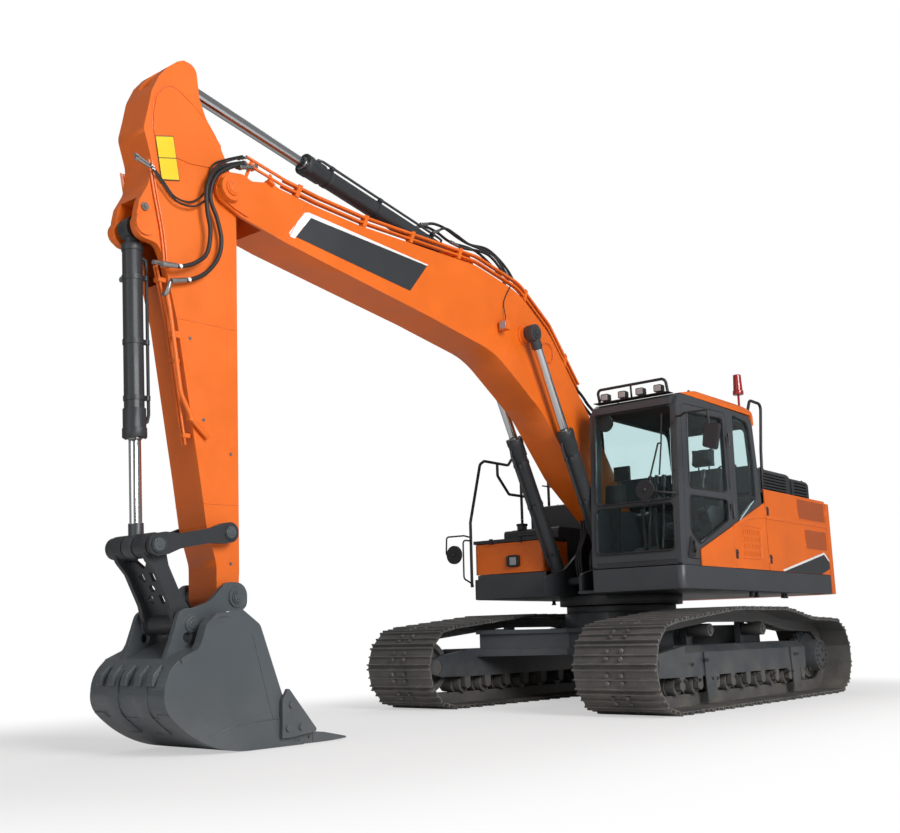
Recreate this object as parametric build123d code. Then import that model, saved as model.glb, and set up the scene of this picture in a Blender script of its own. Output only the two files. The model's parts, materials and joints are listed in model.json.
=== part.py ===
from build123d import *
import math
import os

# Crawler excavator of the 22 tonne class with 800 mm shoes, in millimetres.
# Frame: +X forwards to the bucket, +Y to the cab side, +Z up.
# Origin: on the swing axis, at the ground the tracks stand on.

# ---------------------------------------------------------------- driving dimensions
GAUGE = 2390.0                 # between the two track centres
SHOE_WIDTH = 800.0
TUMBLER_DISTANCE = 3650.0      # idler centre to sprocket centre
LOOP_RADIUS = 397.5            # over the grousers, at both ends of a track
HUMP_HEIGHT = 905.0            # top of the track over its carrier rollers
CARRIER_X = 590.0              # carrier rollers at plus and minus this
SHOE_COUNT = 49
GROUSER = 26.0                 # grouser height over the shoe plate
SHOE_PLATE = 12.0
LINK_HEIGHT = 100.0            # chain links inside the shoes
STRAND_INNER = 50.0            # the two strands of links, from the track's centre
STRAND_OUTER = 90.0
CARRIER_DROP = 74.0            # carrier roller centre under the chain
CHORD_SAG = 15.0               # flat shoes stand this far inside the end circle

DECK_LOW = 1062.0              # underside of the upper structure
SKIRT_TOP = 1278.0
BODY_TOP = 2130.0              # orange side panels
HOUSE_HALF = 1355.0
TAIL_RADIUS = 2800.0
SWING_RADIUS = 640.0

# Pivots of the front end, as (x, z)
BOOM_FOOT = (146.5, 1811.0)
ARM_PIN = (5472.0, 3852.0)
BUCKET_PIN = (5373.0, 980.0)
BOOM_CYL_BASE = (640.0, 1210.0)
BOOM_CYL_PIN = (1880.0, 3500.0)
ARM_CYL_BASE = (2725.0, 4101.0)
ARM_CYL_PIN = (5804.0, 4628.0)
BUCKET_CYL_BASE = (6118.0, 3420.0)
LINK_PIN = (5998.0, 1300.0)    # where side links, bucket link and rod meet
SIDE_LINK_PIN = (5428.0, 1407.0)
BUCKET_LINK_PIN = (5730.0, 812.0)

BOOM_HALF = 190.0              # half the width of the boom box
ARM_HALF = 150.0
BUCKET_HALF = 395.0
BOOM_CYL_Y = 305.0             # centre planes of the two boom cylinders
GAP = 6.0                      # clearance between pieces that move

CAB_RIGHT = 392.0
CAB_LEFT = 1338.0


# ---------------------------------------------------------------- helpers
def outline(points):
    """A closed face from corners (a, b) or (a, b, radius); a radius rounds that corner."""
    edges = []
    first = None
    last = None
    for k, corner in enumerate(points):
        here = Vector(corner[0], corner[1])
        if len(corner) == 3:
            back = (Vector(*points[k - 1][:2]) - here).normalized()
            ahead = (Vector(*points[(k + 1) % len(points)][:2]) - here).normalized()
            half = back.get_angle(ahead) * math.pi / 360
            enter = here + back * (corner[2] / math.tan(half))
            leave = here + ahead * (corner[2] / math.tan(half))
            crown = here + (back + ahead).normalized() * (corner[2] / math.sin(half) - corner[2])
        else:
            enter = here
            leave = here
        if last is None:
            first = enter
        else:
            edges.append(Line(last, enter))
        if leave is not enter:
            edges.append(ThreePointArc(enter, crown, leave))
        last = leave
    edges.append(Line(last, first))
    return make_face(edges)


def plate(points, y_low, y_high):
    """A plate parallel to XZ, from y_low to y_high, of an outline in (x, z)."""
    solid = extrude(Plane.XZ * outline(points), amount=y_high - y_low, dir=(0, 1, 0))
    return Pos(0, y_low, 0) * solid


def flat(points, z_low, z_high):
    """A plate parallel to XY, from z_low to z_high, of an outline in (x, y)."""
    return Pos(0, 0, z_low) * extrude(outline(points), amount=z_high - z_low)


def wall(points, x_low, x_high):
    """A plate parallel to YZ, from x_low to x_high, of an outline in (y, z)."""
    return Pos(x_low, 0, 0) * extrude(Plane.YZ * outline(points), amount=x_high - x_low, dir=(1, 0, 0))


def pair(side, inner, outer):
    """Y limits, low first, of a piece between two distances from the middle, on one side."""
    return sorted((side * inner, side * outer))


def block(x_low, x_high, y_low, y_high, z_low, z_high):
    """A box between its low and high corners."""
    centre = Pos((x_low + x_high) / 2, (y_low + y_high) / 2, (z_low + z_high) / 2)
    return centre * Box(x_high - x_low, y_high - y_low, z_high - z_low)


def across(point, radius, y_low, y_high):
    """A round bar along Y at the (x, z) point."""
    centre = Pos(point[0], (y_low + y_high) / 2, point[1])
    return centre * Rot(90, 0, 0) * Cylinder(radius, y_high - y_low)


def upright(x, y, radius, z_low, z_high):
    """A round bar along Z."""
    return Pos(x, y, (z_low + z_high) / 2) * Cylinder(radius, z_high - z_low)


def between(start, end, radius):
    """A round bar from one (x, y, z) point to another."""
    a = Vector(*start)
    b = Vector(*end)
    return Solid.make_cylinder(radius, (b - a).length, Plane(origin=a, z_dir=b - a))


def pipe(points, radius, bend):
    """A round tube along a route of (x, y, z) points with rounded corners."""
    route = FilletPolyline(*points, radius=bend)
    section = Plane(origin=route @ 0, z_dir=route % 0) * Circle(radius)
    return sweep(section, path=route)


def along(start, end, distance):
    """The (x, z) point at a distance from start towards end."""
    length = math.dist(start, end)
    part = distance / length
    return (start[0] + (end[0] - start[0]) * part, start[1] + (end[1] - start[1]) * part)


def save(name, shape):
    """Write one node."""
    if isinstance(shape, (list, tuple)):
        shape = Compound(children=[Compound(s.wrapped) if not isinstance(s, Solid) else s for s in shape])
    export_step(shape, f"parts/{name}.step")


os.makedirs("parts", exist_ok=True)


# ---------------------------------------------------------------- local frames of boom and arm
def frame_of(start, end):
    """Maps (along, up) of a member to (x, z): up is 90 degrees anticlockwise of start to end."""
    length = math.dist(start, end)
    ux = (end[0] - start[0]) / length
    uz = (end[1] - start[1]) / length

    def to_xz(a, b):
        return (start[0] + ux * a - uz * b, start[1] + uz * a + ux * b)

    return to_xz


boom_xz = frame_of(BOOM_FOOT, ARM_PIN)
arm_xz = frame_of(ARM_PIN, BUCKET_PIN)


# ---------------------------------------------------------------- tracks
def track_route():
    """Points of the shoe plates' inner line, one per chain pin, clockwise from the idler's top."""
    radius = LOOP_RADIUS - GROUSER - SHOE_PLATE
    half = TUMBLER_DISTANCE / 2
    centre_z = LOOP_RADIUS
    hump = HUMP_HEIGHT - GROUSER - SHOE_PLATE
    lift = math.atan2(hump - (centre_z + radius), half - CARRIER_X)
    lines = []
    steps = 40
    for i in range(steps + 1):                       # idler, from its top to its bottom
        a = math.pi / 2 + lift - (math.pi + lift) * i / steps
        lines.append((half + radius * math.cos(a), centre_z + radius * math.sin(a)))
    for i in range(steps + 1):                       # sprocket, from its bottom to its top
        a = -math.pi / 2 - (math.pi + lift) * i / steps
        lines.append((-half + radius * math.cos(a), centre_z + radius * math.sin(a)))
    lines.append((-CARRIER_X - 620, centre_z + radius + 12))
    lines.append((-CARRIER_X, hump))
    lines.append((CARRIER_X, hump))
    lines.append(lines[0])
    return lines


def resample(points, count):
    """count points at equal steps along a closed line."""
    lengths = [math.dist(a, b) for a, b in zip(points, points[1:])]
    total = sum(lengths)
    result = []
    for k in range(count):
        goal = total * k / count
        i = 0
        while goal > lengths[i]:
            goal -= lengths[i]
            i += 1
        result.append(along(points[i], points[i + 1], goal))
    return result


def track(centre_y):
    """One track: a fixed loop of shoes with three grousers each, on two strands of links."""
    pins = resample(track_route(), SHOE_COUNT)
    # one shoe: (part of the pitch, height over the plates' inner line)
    tooth = GROUSER + SHOE_PLATE
    shoe = [(0.02, 5.0), (0.04, SHOE_PLATE), (0.06, tooth), (0.12, tooth), (0.16, SHOE_PLATE), (0.46, SHOE_PLATE),
            (0.49, tooth - 4), (0.54, tooth - 4), (0.57, SHOE_PLATE), (0.86, SHOE_PLATE), (0.90, tooth),
            (0.95, tooth), (0.97, 5.0)]
    outer = []
    for k, start in enumerate(pins):
        end = pins[(k + 1) % SHOE_COUNT]
        length = math.dist(start, end)
        nx = -(end[1] - start[1]) / length
        nz = (end[0] - start[0]) / length
        for part, height in shoe:
            x = start[0] + (end[0] - start[0]) * part + nx * height
            z = start[1] + (end[1] - start[1]) * part + nz * height
            outer.append((x, z))
    inset = offset(make_face(Polyline(*pins, close=True)), -LINK_HEIGHT, kind=Kind.INTERSECTION)
    inner = [(start[0], start[1]) for start in pins]
    half = SHOE_WIDTH / 2
    belt = plate(outer, centre_y - half, centre_y + half) - plate(inner, centre_y - half - 1, centre_y + half + 1)
    ring_outer = make_face(Polyline(*pins, close=True))
    ring = Plane.XZ * (ring_outer - inset)
    strand = extrude(ring, amount=STRAND_OUTER - STRAND_INNER, dir=(0, 1, 0))
    low = Pos(0, centre_y - STRAND_OUTER, 0) * strand
    high = Pos(0, centre_y + STRAND_INNER, 0) * strand
    return belt + low + high


def wheel_row(centre_y):
    """Bottom and carrier rollers of one track."""
    rail = GROUSER + SHOE_PLATE + LINK_HEIGHT
    tread = 74.0
    rollers = []
    for k in range(9):
        x = -1330.0 + 2690.0 * k / 8
        centre = (x, rail + tread + 1)
        body = across(centre, tread, centre_y - 130, centre_y + 130)
        collar = across(centre, tread + 16, centre_y - 40, centre_y + 40)
        ends = across(centre, 38, centre_y - 185, centre_y + 185)
        for low, high in ((centre_y - 185, centre_y - 138), (centre_y + 138, centre_y + 185)):
            ends += block(x - 45, x + 45, low, high, centre[1] - 20, 289.5)
        rollers.append(body + collar + ends)
    under = HUMP_HEIGHT - rail
    for x in (-CARRIER_X, CARRIER_X):
        centre = (x, under - CARRIER_DROP)
        body = across(centre, 60, centre_y - 110, centre_y + 100)
        rollers.append(body + across(centre, 32, centre_y - 190, centre_y + 118))
    return rollers


half_gauge = GAUGE / 2
idler_x = TUMBLER_DISTANCE / 2
idlers = []
sprockets = []
rollers = []
for side in (-1, 1):
    y = side * half_gauge
    rim = LOOP_RADIUS - GROUSER - SHOE_PLATE - LINK_HEIGHT - CHORD_SAG
    hub = (idler_x, LOOP_RADIUS)
    wheel = across(hub, rim - 3, y - 95, y + 95) - across(hub, rim - 55, y - 96, y - 30)
    wheel -= across(hub, rim - 55, y + 30, y + 96)
    wheel += across(hub, rim + 26, y - 42, y + 42) + across(hub, 70, y - 175, y + 175)
    idlers.append(wheel)
    hub = (-idler_x, LOOP_RADIUS)
    teeth = 21
    toothed = []
    for k in range(teeth):
        for step, radius in ((-0.30, rim + 8), (-0.14, rim + 66), (0.14, rim + 66), (0.30, rim + 8)):
            a = 2 * math.pi * (k + step) / teeth
            toothed.append((hub[0] + radius * math.cos(a), hub[1] + radius * math.sin(a)))
    disc = plate(toothed, y - 28, y + 28)
    motor_out = y + side * 205
    motor_in = y - side * 240
    disc += across(hub, 235, min(y - 60, y + 60), max(y - 60, y + 60))
    disc += across(hub, 165, min(y, motor_out), max(y, motor_out))
    disc += across(hub, 175, min(y, motor_in), max(y, motor_in))
    sprockets.append(disc)
    rollers += wheel_row(y)
save("track_left", track(half_gauge))
save("track_right", track(-half_gauge))
save("idlers", idlers)
save("sprockets", sprockets)
save("rollers", rollers)


# ---------------------------------------------------------------- track frames and car body
def track_frame(side):
    """One side frame: a sloped box with roller guards, idler fork, carrier posts and motor mount."""
    y = side * half_gauge
    section = [(-185, 290), (185, 290), (185, 498), (110, 560), (-185, 560)]
    face = make_face(Polyline(*[(y + side * a, z) for a, z in section], close=True))
    beam = extrude(Plane.YZ * face, amount=2780, dir=(1, 0, 0))
    beam = Pos(-1420, 0, 0) * beam
    beam -= block(-1425, 1365, y - 120, y + 120, 288, 520)
    lows, highs = (y - 185, y - 120), (y + 120, y + 185)
    fork = [(1280, 290), (1760, 300), (1960, 340), (1960, 455), (1760, 500), (1280, 560)]
    for low, high in (lows, highs):
        cheek = plate(fork, low, high)
        cheek -= across((idler_x, LOOP_RADIUS), 70.05, low - 1, high + 1)
        beam += cheek
    motor = [(-1400, 300), (-1640, 320), (-1640, 480), (-1400, 540)]
    beam += plate(motor, y - side * 150 - 35, y - side * 150 + 35)
    for x in (-CARRIER_X, CARRIER_X):
        low, high = sorted((y - side * 185, y - side * 125))
        beam += block(x - 60, x + 60, low, high, 540, 770)
        beam -= across((x, HUMP_HEIGHT - 138 - CARRIER_DROP), 60.5, y - 116, y + 116)
        beam -= across((x, HUMP_HEIGHT - 138 - CARRIER_DROP), 32.05, y - 200, y + 200)
    for x in (830, -1130):                           # chain guides
        low, high = sorted((y + side * 187, y + side * 200))
        guard = plate([(x - 110, 500), (x - 110, 440), (x - 90, 90), (x + 90, 90), (x + 120, 500)], low, high)
        beam += guard
        low, high = sorted((y + side * 184, y + side * 188))
        beam += block(x - 80, x + 80, low, high, 300, 480)
    return beam


frames = [track_frame(1), track_frame(-1)]
save("track_frames", frames)

legs = [(520, 560), (820, 1008), (1210, 1008), (760, 200), (760, -200), (1210, -1008), (820, -1008), (520, -560),
        (-520, -560), (-820, -1008), (-1210, -1008), (-760, -200), (-760, 200), (-1210, 1008), (-820, 1008),
        (-520, 560)]
car_body = flat(legs, 480, 545) + flat(legs, 700, 740)
web = make_face(Polyline(*[(x * 0.95, y * 0.999) for x, y in legs], close=True))
car_body += Pos(0, 0, 540) * extrude(web - offset(web, -28, kind=Kind.INTERSECTION), amount=165)
car_body += upright(0, 0, 590, 480, 890) - upright(0, 0, 550, 545, 800)
car_body -= upright(0, 0, 300, 470, 900)
save("car_body", car_body)
bearing = upright(0, 0, 570, 891, 960) - upright(0, 0, 430, 880, 970)
save("swing_bearing", bearing)

# ---------------------------------------------------------------- upper structure
ring = upright(0, 0, SWING_RADIUS, 966, DECK_LOW - 1) - upright(0, 0, 440, 960, DECK_LOW + 1)
save("swing_ring", ring)

FRAME_IN = 197.0               # main plates beside the boom foot
FRAME_OUT = 225.0
EAR_IN = BOOM_CYL_Y + 50       # outer ears of the boom cylinders
EAR_OUT = BOOM_CYL_Y + 76
DECK = 28.0                    # deck plate thickness
deck_top = DECK_LOW + DECK
deck = flat([(775, -1330, 40), (775, -390), (1120, -380), (1120, 1330, 40), (-2050, 1330), (-2240, 1100),
             (-2240, -1100), (-2050, -1330)], DECK_LOW, deck_top)
rise = [(-2240, deck_top - 8), (-2240, 1270, 40), (-760, 1270, 300), (-420, 1560, 200), (-60, 1930, 110),
        (240, 1930, 110), (480, 1500, 200), (740, 1330, 200), (1100, 1250, 40), (1100, deck_top - 8)]
ear = [(480, deck_top - 8), (548, 1210), (640, 1302, 60), (732, 1210), (745, deck_top - 8)]
main_frame = deck - block(450, 1130, -196, 196, DECK_LOW - 1, deck_top + 2)
for side in (-1, 1):
    main_frame += plate(rise, *pair(side, FRAME_IN, FRAME_OUT))
    main_frame += plate(ear, *pair(side, EAR_IN, EAR_OUT))
    main_frame += across(BOOM_CYL_BASE, 80, *pair(side, FRAME_IN, BOOM_CYL_Y - 44))
for x in (-1150, -620):                          # cross members between the main plates
    main_frame += block(x, x + 24, -FRAME_IN - 1, FRAME_IN + 1, deck_top - 8, 1262)
main_frame += across(BOOM_CYL_BASE, 40, -EAR_OUT, EAR_OUT)
main_frame -= across(BOOM_FOOT, 45.05, -FRAME_OUT - 1, FRAME_OUT + 1)
for side in (-1, 1):
    main_frame += across(BOOM_FOOT, 45.0, *pair(side, FRAME_IN - 0.5, FRAME_OUT + 30))
    main_frame += across(BOOM_FOOT, 95.0, *pair(side, FRAME_OUT - 1, FRAME_OUT + 14))
main_frame -= upright(0, 0, 300, DECK_LOW - 5, deck_top + 12)
save("main_frame", main_frame)

SKIN = 22.0
SKIRT_LOW = DECK_LOW + 4
left_in = HOUSE_HALF - SKIN
left_skirt = flat([(-2440, left_in), (-2440, HOUSE_HALF), (1150, HOUSE_HALF, 70), (1150, CAB_RIGHT),
                   (1150 - SKIN, CAB_RIGHT), (1150 - SKIN, left_in, 50)], SKIRT_LOW, SKIRT_TOP)
right_skirt = flat([(-2440, -left_in), (-2440, -HOUSE_HALF), (800, -HOUSE_HALF, 70), (800, -400),
                    (800 - SKIN, -400), (800 - SKIN, -left_in, 50)], SKIRT_LOW, SKIRT_TOP)
right_skirt += block(800 - SKIN, 800, 75 - HOUSE_HALF, -400, SKIRT_TOP - 1, SKIRT_TOP + 42)
save("side_skirts", [left_skirt, right_skirt])


def tail(side, z_low, z_high):
    """A counterweight layer: flat front, chamfered corners and a rounded back."""
    edge = Polyline((-2660, side - 110), (-2560, side), (-2454, side), (-2454, -side), (-2560, -side),
                    (-2660, -side + 110))
    arc = ThreePointArc((-2660, -side + 110), (-TAIL_RADIUS, 0), (-2660, side - 110))
    return Pos(0, 0, z_low) * extrude(make_face([edge, arc]), amount=z_high - z_low)


counterweight = tail(HOUSE_HALF, SKIRT_LOW, BODY_TOP - 20)
rim = counterweight.faces().sort_by(Axis.Z)[-1].edges().filter_by(GeomType.CIRCLE)
counterweight = chamfer(rim, 45)
counterweight += block(-2455, -2250, -900, 900, 1150, 1900)
for side in (-1, 1):                             # lifting eyes
    eye = block(-2640, -2600, side * 700 - 70, side * 700 + 70, BODY_TOP - 21, BODY_TOP + 60)
    hole = Pos(-2620, side * 700, BODY_TOP + 20) * Rot(0, 90, 0) * Cylinder(28, 60)
    counterweight += eye - hole
save("counterweight", counterweight)


# ---------------------------------------------------------------- cab
SIDE_SHEET = 46.0              # thickness of the cab's side frames
FLOOR_TOP = 1334.0
CAB_TOP = 2900.0
SCREEN_SPLIT = 1872.0          # height of the bar across the windscreen
cab_side = [(-680, SKIRT_TOP + 6, 30), (-700, 2000), (-604, CAB_TOP - 20, 130), (980, CAB_TOP, 90),
            (1072, 2790, 60), (1146, 1500), (1150, SKIRT_TOP + 6, 30)]
door_shape = [(1040, 1346, 60), (982, 2798, 95), (24, 2836, 60), (24, 1712, 80), (742, 1444, 60), (780, 1346, 40)]
quarter = [(-130, 2848, 50), (-520, 2808, 100), (-572, 2380), (-572, 2010, 70), (-112, 1728, 40)]
right_window = [(1000, 1880, 60), (935, 2800, 90), (-500, 2800, 90), (-590, 2100), (-590, 1880, 70)]

door_hole = offset(outline(door_shape), GAP)
left_side = plate(cab_side, CAB_LEFT - SIDE_SHEET, CAB_LEFT)
left_side -= Pos(0, CAB_LEFT - 60, 0) * extrude(Plane.XZ * door_hole, amount=70, dir=(0, 1, 0))
left_side -= plate(quarter, CAB_LEFT - 60, CAB_LEFT + 10)
for z in (1770, 2560):                           # hinge knuckles on the rear door post
    left_side += upright(8, 1352, 11, z, z + 70) + block(-30, 8, CAB_LEFT, 1350, z, z + 70)
save("cab_left_side", left_side)
right_side = plate(cab_side, CAB_RIGHT, CAB_RIGHT + SIDE_SHEET)
right_side -= plate(right_window, CAB_RIGHT - 10, CAB_RIGHT + 60)
save("cab_right_side", right_side)
inner_low, inner_high = CAB_RIGHT + SIDE_SHEET, CAB_LEFT - SIDE_SHEET
save("cab_floor", block(-676, 1146, inner_low, inner_high, SKIRT_TOP + 8, FLOOR_TOP))

front = plate([(1088, FLOOR_TOP), (1148, FLOOR_TOP), (1145, 1500), (1071, 2795, 60), (985, CAB_TOP - 2, 60),
               (880, CAB_TOP - 2), (880, 2850), (1010, 2790), (1086, 1500)], inner_low, inner_high)
left_edge, right_edge = inner_high - 22, inner_low + 22
for low, high in ((1412, SCREEN_SPLIT - 14), (SCREEN_SPLIT + 14, 2782)):
    hole = wall([(right_edge, low, 40), (left_edge, low, 40), (left_edge, high, 40), (right_edge, high, 40)],
                850, 1200)
    front -= hole
front += plate([(1050, 2802), (1100, 2786), (1096, 2850), (1000, 2896)], inner_low, inner_high)
save("cab_front_frame", front)
rear = plate([(-678, FLOOR_TOP), (-698, 2000), (-602, CAB_TOP - 22, 100), (-520, CAB_TOP - 4), (-520, CAB_TOP - 44),
              (-562, CAB_TOP - 60), (-655, 2000), (-634, FLOOR_TOP)], inner_low, inner_high)
rear -= wall([(inner_low + 40, 2060, 60), (inner_high - 40, 2060, 60), (inner_high - 40, 2770, 60),
              (inner_low + 40, 2770, 60)], -750, -500)
save("cab_rear_wall", rear)

GLASS = 8.0


def pane(opening, y_low):
    """Flat glass that fills an opening but for a thin joint."""
    face = offset(outline(opening), -1.0)
    return Pos(0, y_low, 0) * extrude(Plane.XZ * face, amount=GLASS, dir=(0, 1, 0))


def screen(low, high, y_low, y_high, corner):
    """Glass in a sloped front or rear frame, between two (x, z) points, with round corners."""
    sheet = plate([low, (low[0] + GLASS, low[1]), (high[0] + GLASS, high[1]), high], y_low, y_high)
    shape = [(y_low, low[1], corner), (y_high, low[1], corner), (y_high, high[1], corner), (y_low, high[1], corner)]
    return sheet & wall(shape, -800, 1200)


windows = [screen((1121, 1888), (1068, 2780), right_edge + 1, left_edge - 1, 40),
           screen((1134, 1414), (1124, 1856), right_edge + 1, left_edge - 1, 40),
           screen((-680, 2062), (-603, 2768), inner_low + 41, inner_high - 41, 60),
           pane(right_window, CAB_RIGHT + 10), pane(quarter, CAB_LEFT - 22)]
save("cab_windows", windows)

upper_pane = [(908, 2004, 60), (868, 2738, 90), (104, 2770, 60), (104, 2026, 60)]
lower_pane = [(918, 1934, 40), (936, 1600, 70), (770, 1478, 60), (104, 1752, 60), (104, 1950, 30)]
door = plate(door_shape, CAB_LEFT - SIDE_SHEET + 4, CAB_LEFT)
door -= plate(upper_pane, CAB_LEFT - 60, CAB_LEFT + 20)
door -= plate(lower_pane, CAB_LEFT - 60, CAB_LEFT + 20)
for z in (1842, 2484):                           # hinge knuckles that meet those of the post
    door += upright(8, 1352, 11, z + 4, z + 70) + block(8, 60, CAB_LEFT, 1350, z + 4, z + 70)
grip = plate([(900, 1370, 30), (1020, 1360, 30), (955, 1540, 30), (900, 1500, 30)], CAB_LEFT - 1, CAB_LEFT + 12)
door += grip - plate([(930, 1400, 8), (980, 1396, 8), (946, 1490, 8), (928, 1470, 8)], CAB_LEFT, CAB_LEFT + 20)
save("cab_door", door)
save("door_windows", [pane(upper_pane, CAB_LEFT - 24), pane(lower_pane, CAB_LEFT - 24)])

roof = plate([(-620, 2800), (-664, 2800, 15), (-655, 2950, 90), (-420, 2992, 200), (620, 2976, 200),
              (975, 2902), (-600, 2902)], CAB_RIGHT + 4, CAB_LEFT - 4)
roof &= wall([(CAB_RIGHT + 4, 2700), (CAB_LEFT - 4, 2700), (CAB_LEFT - 4, 3000, 75), (CAB_RIGHT + 4, 3000, 75)],
             -700, 1000)
roof -= block(-560, 560, CAB_RIGHT + 60, CAB_LEFT - 60, 2895, 2930)
save("cab_roof", roof)

seat_middle = 865
cushion = plate([(-320, 1640, 50), (170, 1650, 60), (185, 1770, 50), (-300, 1760, 60)], 620, 1110)
backrest = plate([(-300, 1765, 40), (-430, 2330, 40), (-325, 2350, 40), (-190, 1800, 45)], 630, 1100)
headrest = plate([(-420, 2375, 35), (-430, 2570, 40), (-350, 2580, 40), (-320, 2400, 35)], 740, 990)
pedestal = block(-240, 90, 700, 1030, FLOOR_TOP + 1, 1636)
posts = [between((-385, seat_middle + dy, 2340), (-385, seat_middle + dy, 2400), 8) for dy in (-60, 60)]
save("operator_seat", [cushion, backrest, headrest, pedestal] + posts)
consoles = []
for middle in (530, 1200):
    box_shape = [(-360, FLOOR_TOP + 1), (-360, 1880, 60), (280, 1890, 50), (420, 1840, 30), (330, 1700, 60),
                 (300, FLOOR_TOP + 1)]
    console = plate(box_shape, middle - 55, middle + 55)
    lever = between((330, middle, 1860), (350, middle, 1980), 12)
    knob = between((350, middle, 1975), (362, middle, 2100), 26)
    consoles.append(console + lever + knob)
monitor = plate([(880, 1900, 20), (960, 1910, 20), (930, 2110, 20), (860, 2100, 20)], 450, 640)
stand = block(880, 920, 500, 560, FLOOR_TOP + 1, 1905)
pedals = block(760, 900, 720, 1010, FLOOR_TOP + 1, 1400)
for y in (800, 930):
    pedals += between((820, y, 1399), (850, y, 1800), 11) + between((850, y, 1800), (855, y, 1850), 22)
    pedals += plate([(720, 1398), (720, 1430), (900, 1480), (900, 1398)], y - 45, y + 45)
save("control_consoles", consoles + [monitor + stand, pedals])

# ---------------------------------------------------------------- house
save("engine", block(-1960, -1300, -560, 560, 1290, 2060))
save("hydraulic_tank", plate([(-700, deck_top), (-700, 2140, 40), (-250, 2140, 40), (-250, deck_top)], -1290, -560))
fuel_tank = plate([(-240, deck_top), (-240, 1830, 40), (290, 1830, 40), (290, deck_top)], -1290, -560)
for x in (-150, 60):                             # tread strips of the step on the tank
    fuel_tank += block(x, x + 120, -1250, -620, 1829, 1842)
fuel_tank += upright(230, -1080, 55, 1829, 1880)
save("fuel_tank", fuel_tank)
TOOLBOX_BACK, TOOLBOX_FRONT = 310, 790
TOOLBOX_LEFT = -430
box_corners = [(TOOLBOX_BACK, -1330, 25), (TOOLBOX_FRONT, -1330, 45), (TOOLBOX_FRONT, TOOLBOX_LEFT, 45),
               (TOOLBOX_BACK, TOOLBOX_LEFT, 25)]
inside = [(TOOLBOX_BACK + 20, -1310), (TOOLBOX_FRONT - 20, -1310), (TOOLBOX_FRONT - 20, TOOLBOX_LEFT - 20),
          (TOOLBOX_BACK + 20, TOOLBOX_LEFT - 20)]
toolbox = flat(box_corners, SKIRT_TOP + 50, 1650) - flat(inside, SKIRT_TOP + 70, 1655)
save("toolbox", toolbox)
lid = flat([(312, -1342, 30), (812, -1342, 40), (812, -418, 40), (312, -418, 30)], 1657, 1690)
lid -= flat([(340, -1320), (795, -1320), (795, -440), (340, -440)], 1656, 1672)
for y in (-1200, -760):
    lid += across((306, 1684), 10, y, y + 120)
save("toolbox_lid", lid)

PANEL = 14.0                   # thickness of the side doors
panel_out = HOUSE_HALF
left_panel = plate([(780, SKIRT_TOP + 3), (780, 1432, 30), (60, 1692), (60, SKIRT_TOP + 3)],
                   panel_out - 12, panel_out)
right_panel = block(-2440, -1996, -panel_out, -panel_out + 12, SKIRT_TOP + 3, BODY_TOP)
right_front = block(-704, 290, -panel_out, -panel_out + 12, SKIRT_TOP + 3, 1640)
save("side_panels", [left_panel, right_panel, right_front])


def knuckles(x, y, heights):
    """Round hinge knuckles on an upright axis."""
    return [upright(x, y, 8, z, z + 60) for z in heights]


filter_door = plate([(54, SKIRT_TOP + 5), (54, 1697), (-735, 1984), (-735, SKIRT_TOP + 5)], panel_out - PANEL, panel_out)
for column in range(9):                          # slanted air slots
    for row in range(4):
        x = -170 - 45 * column
        z = 1410 + 72 * row
        slot = [(x, z, 4), (x + 14, z, 4), (x - 8, z + 52, 4), (x - 22, z + 52, 4)]
        filter_door -= plate(slot, panel_out - PANEL - 1, panel_out + 1)
for piece in knuckles(-741, panel_out + 3, (1350, 1850)):
    filter_door += piece
save("filter_door", filter_door)
cooler_door = block(-2436, -750, panel_out - PANEL, panel_out, SKIRT_TOP + 5, BODY_TOP)
for low, high, x_low, x_high in ((1560, 1760, -2440 + 60, -1780), (1880, 2090, -2380, -1640)):
    for k in range(8):                           # long air slots
        z = low + (high - low) * k / 8
        slot = [(x_low, z, 5), (x_high, z, 5), (x_high, z + 13, 5), (x_low, z + 13, 5)]
        cooler_door -= plate(slot, panel_out - PANEL - 1, panel_out + 1)
for piece in knuckles(-2441, panel_out + 3, (1400, 1950)):
    cooler_door += piece
save("cooler_door", cooler_door)
pump_door = block(-1982, -710, -panel_out, -panel_out + PANEL, SKIRT_TOP + 5, BODY_TOP)
for k in range(9):
    z = 1560 + 40 * k
    slot = [(-1850, z, 6), (-1100, z, 6), (-1100, z + 16, 6), (-1850, z + 16, 6)]
    pump_door -= plate(slot, -panel_out - 1, -panel_out + PANEL + 1)
for piece in knuckles(-1988, -panel_out - 3, (1400, 1950)):
    pump_door += piece
save("pump_door", pump_door)

COVER = 30.0                   # thickness of the deck plates over the house
rear_cover = block(-2440, -1986, -1330, 1330, BODY_TOP - COVER, BODY_TOP)
front_cover = block(-1000, -740, -550, 1330, BODY_TOP - COVER, BODY_TOP)
tank_cover = block(-1000, -710, -1330, -560, BODY_TOP - COVER, BODY_TOP)
save("top_covers", [rear_cover, front_cover, tank_cover])

HOOD_LOW, HOOD_TOP = BODY_TOP + 6, 2440
hood_arch = [(-1060, HOOD_LOW), (-1060, HOOD_TOP, 80), (1150, HOOD_TOP, 80), (1150, HOOD_LOW)]
hood_inside = [(-1046, HOOD_LOW - 1), (-1046, HOOD_TOP - 14, 66), (1136, HOOD_TOP - 14, 66), (1136, HOOD_LOW - 1)]
hood = wall(hood_arch, -1976, -1006) - wall(hood_inside, -1962, -1020)
for k in range(6):                               # louvres on the left end and slots in the top
    z = HOOD_LOW + 60 + 34 * k
    hood -= block(-1860, -1160, 1130, 1160, z, z + 14)
    y = 250 + 120 * k
    hood -= block(-1860, -1200, y, y + 30, HOOD_TOP - 20, HOOD_TOP + 5)
for y in (-820, 780):
    hood += across((-1984, 2436), 9, y, y + 140) + block(-1985, -1970, y, y + 140, 2428, 2440)
save("engine_hood", hood)
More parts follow.
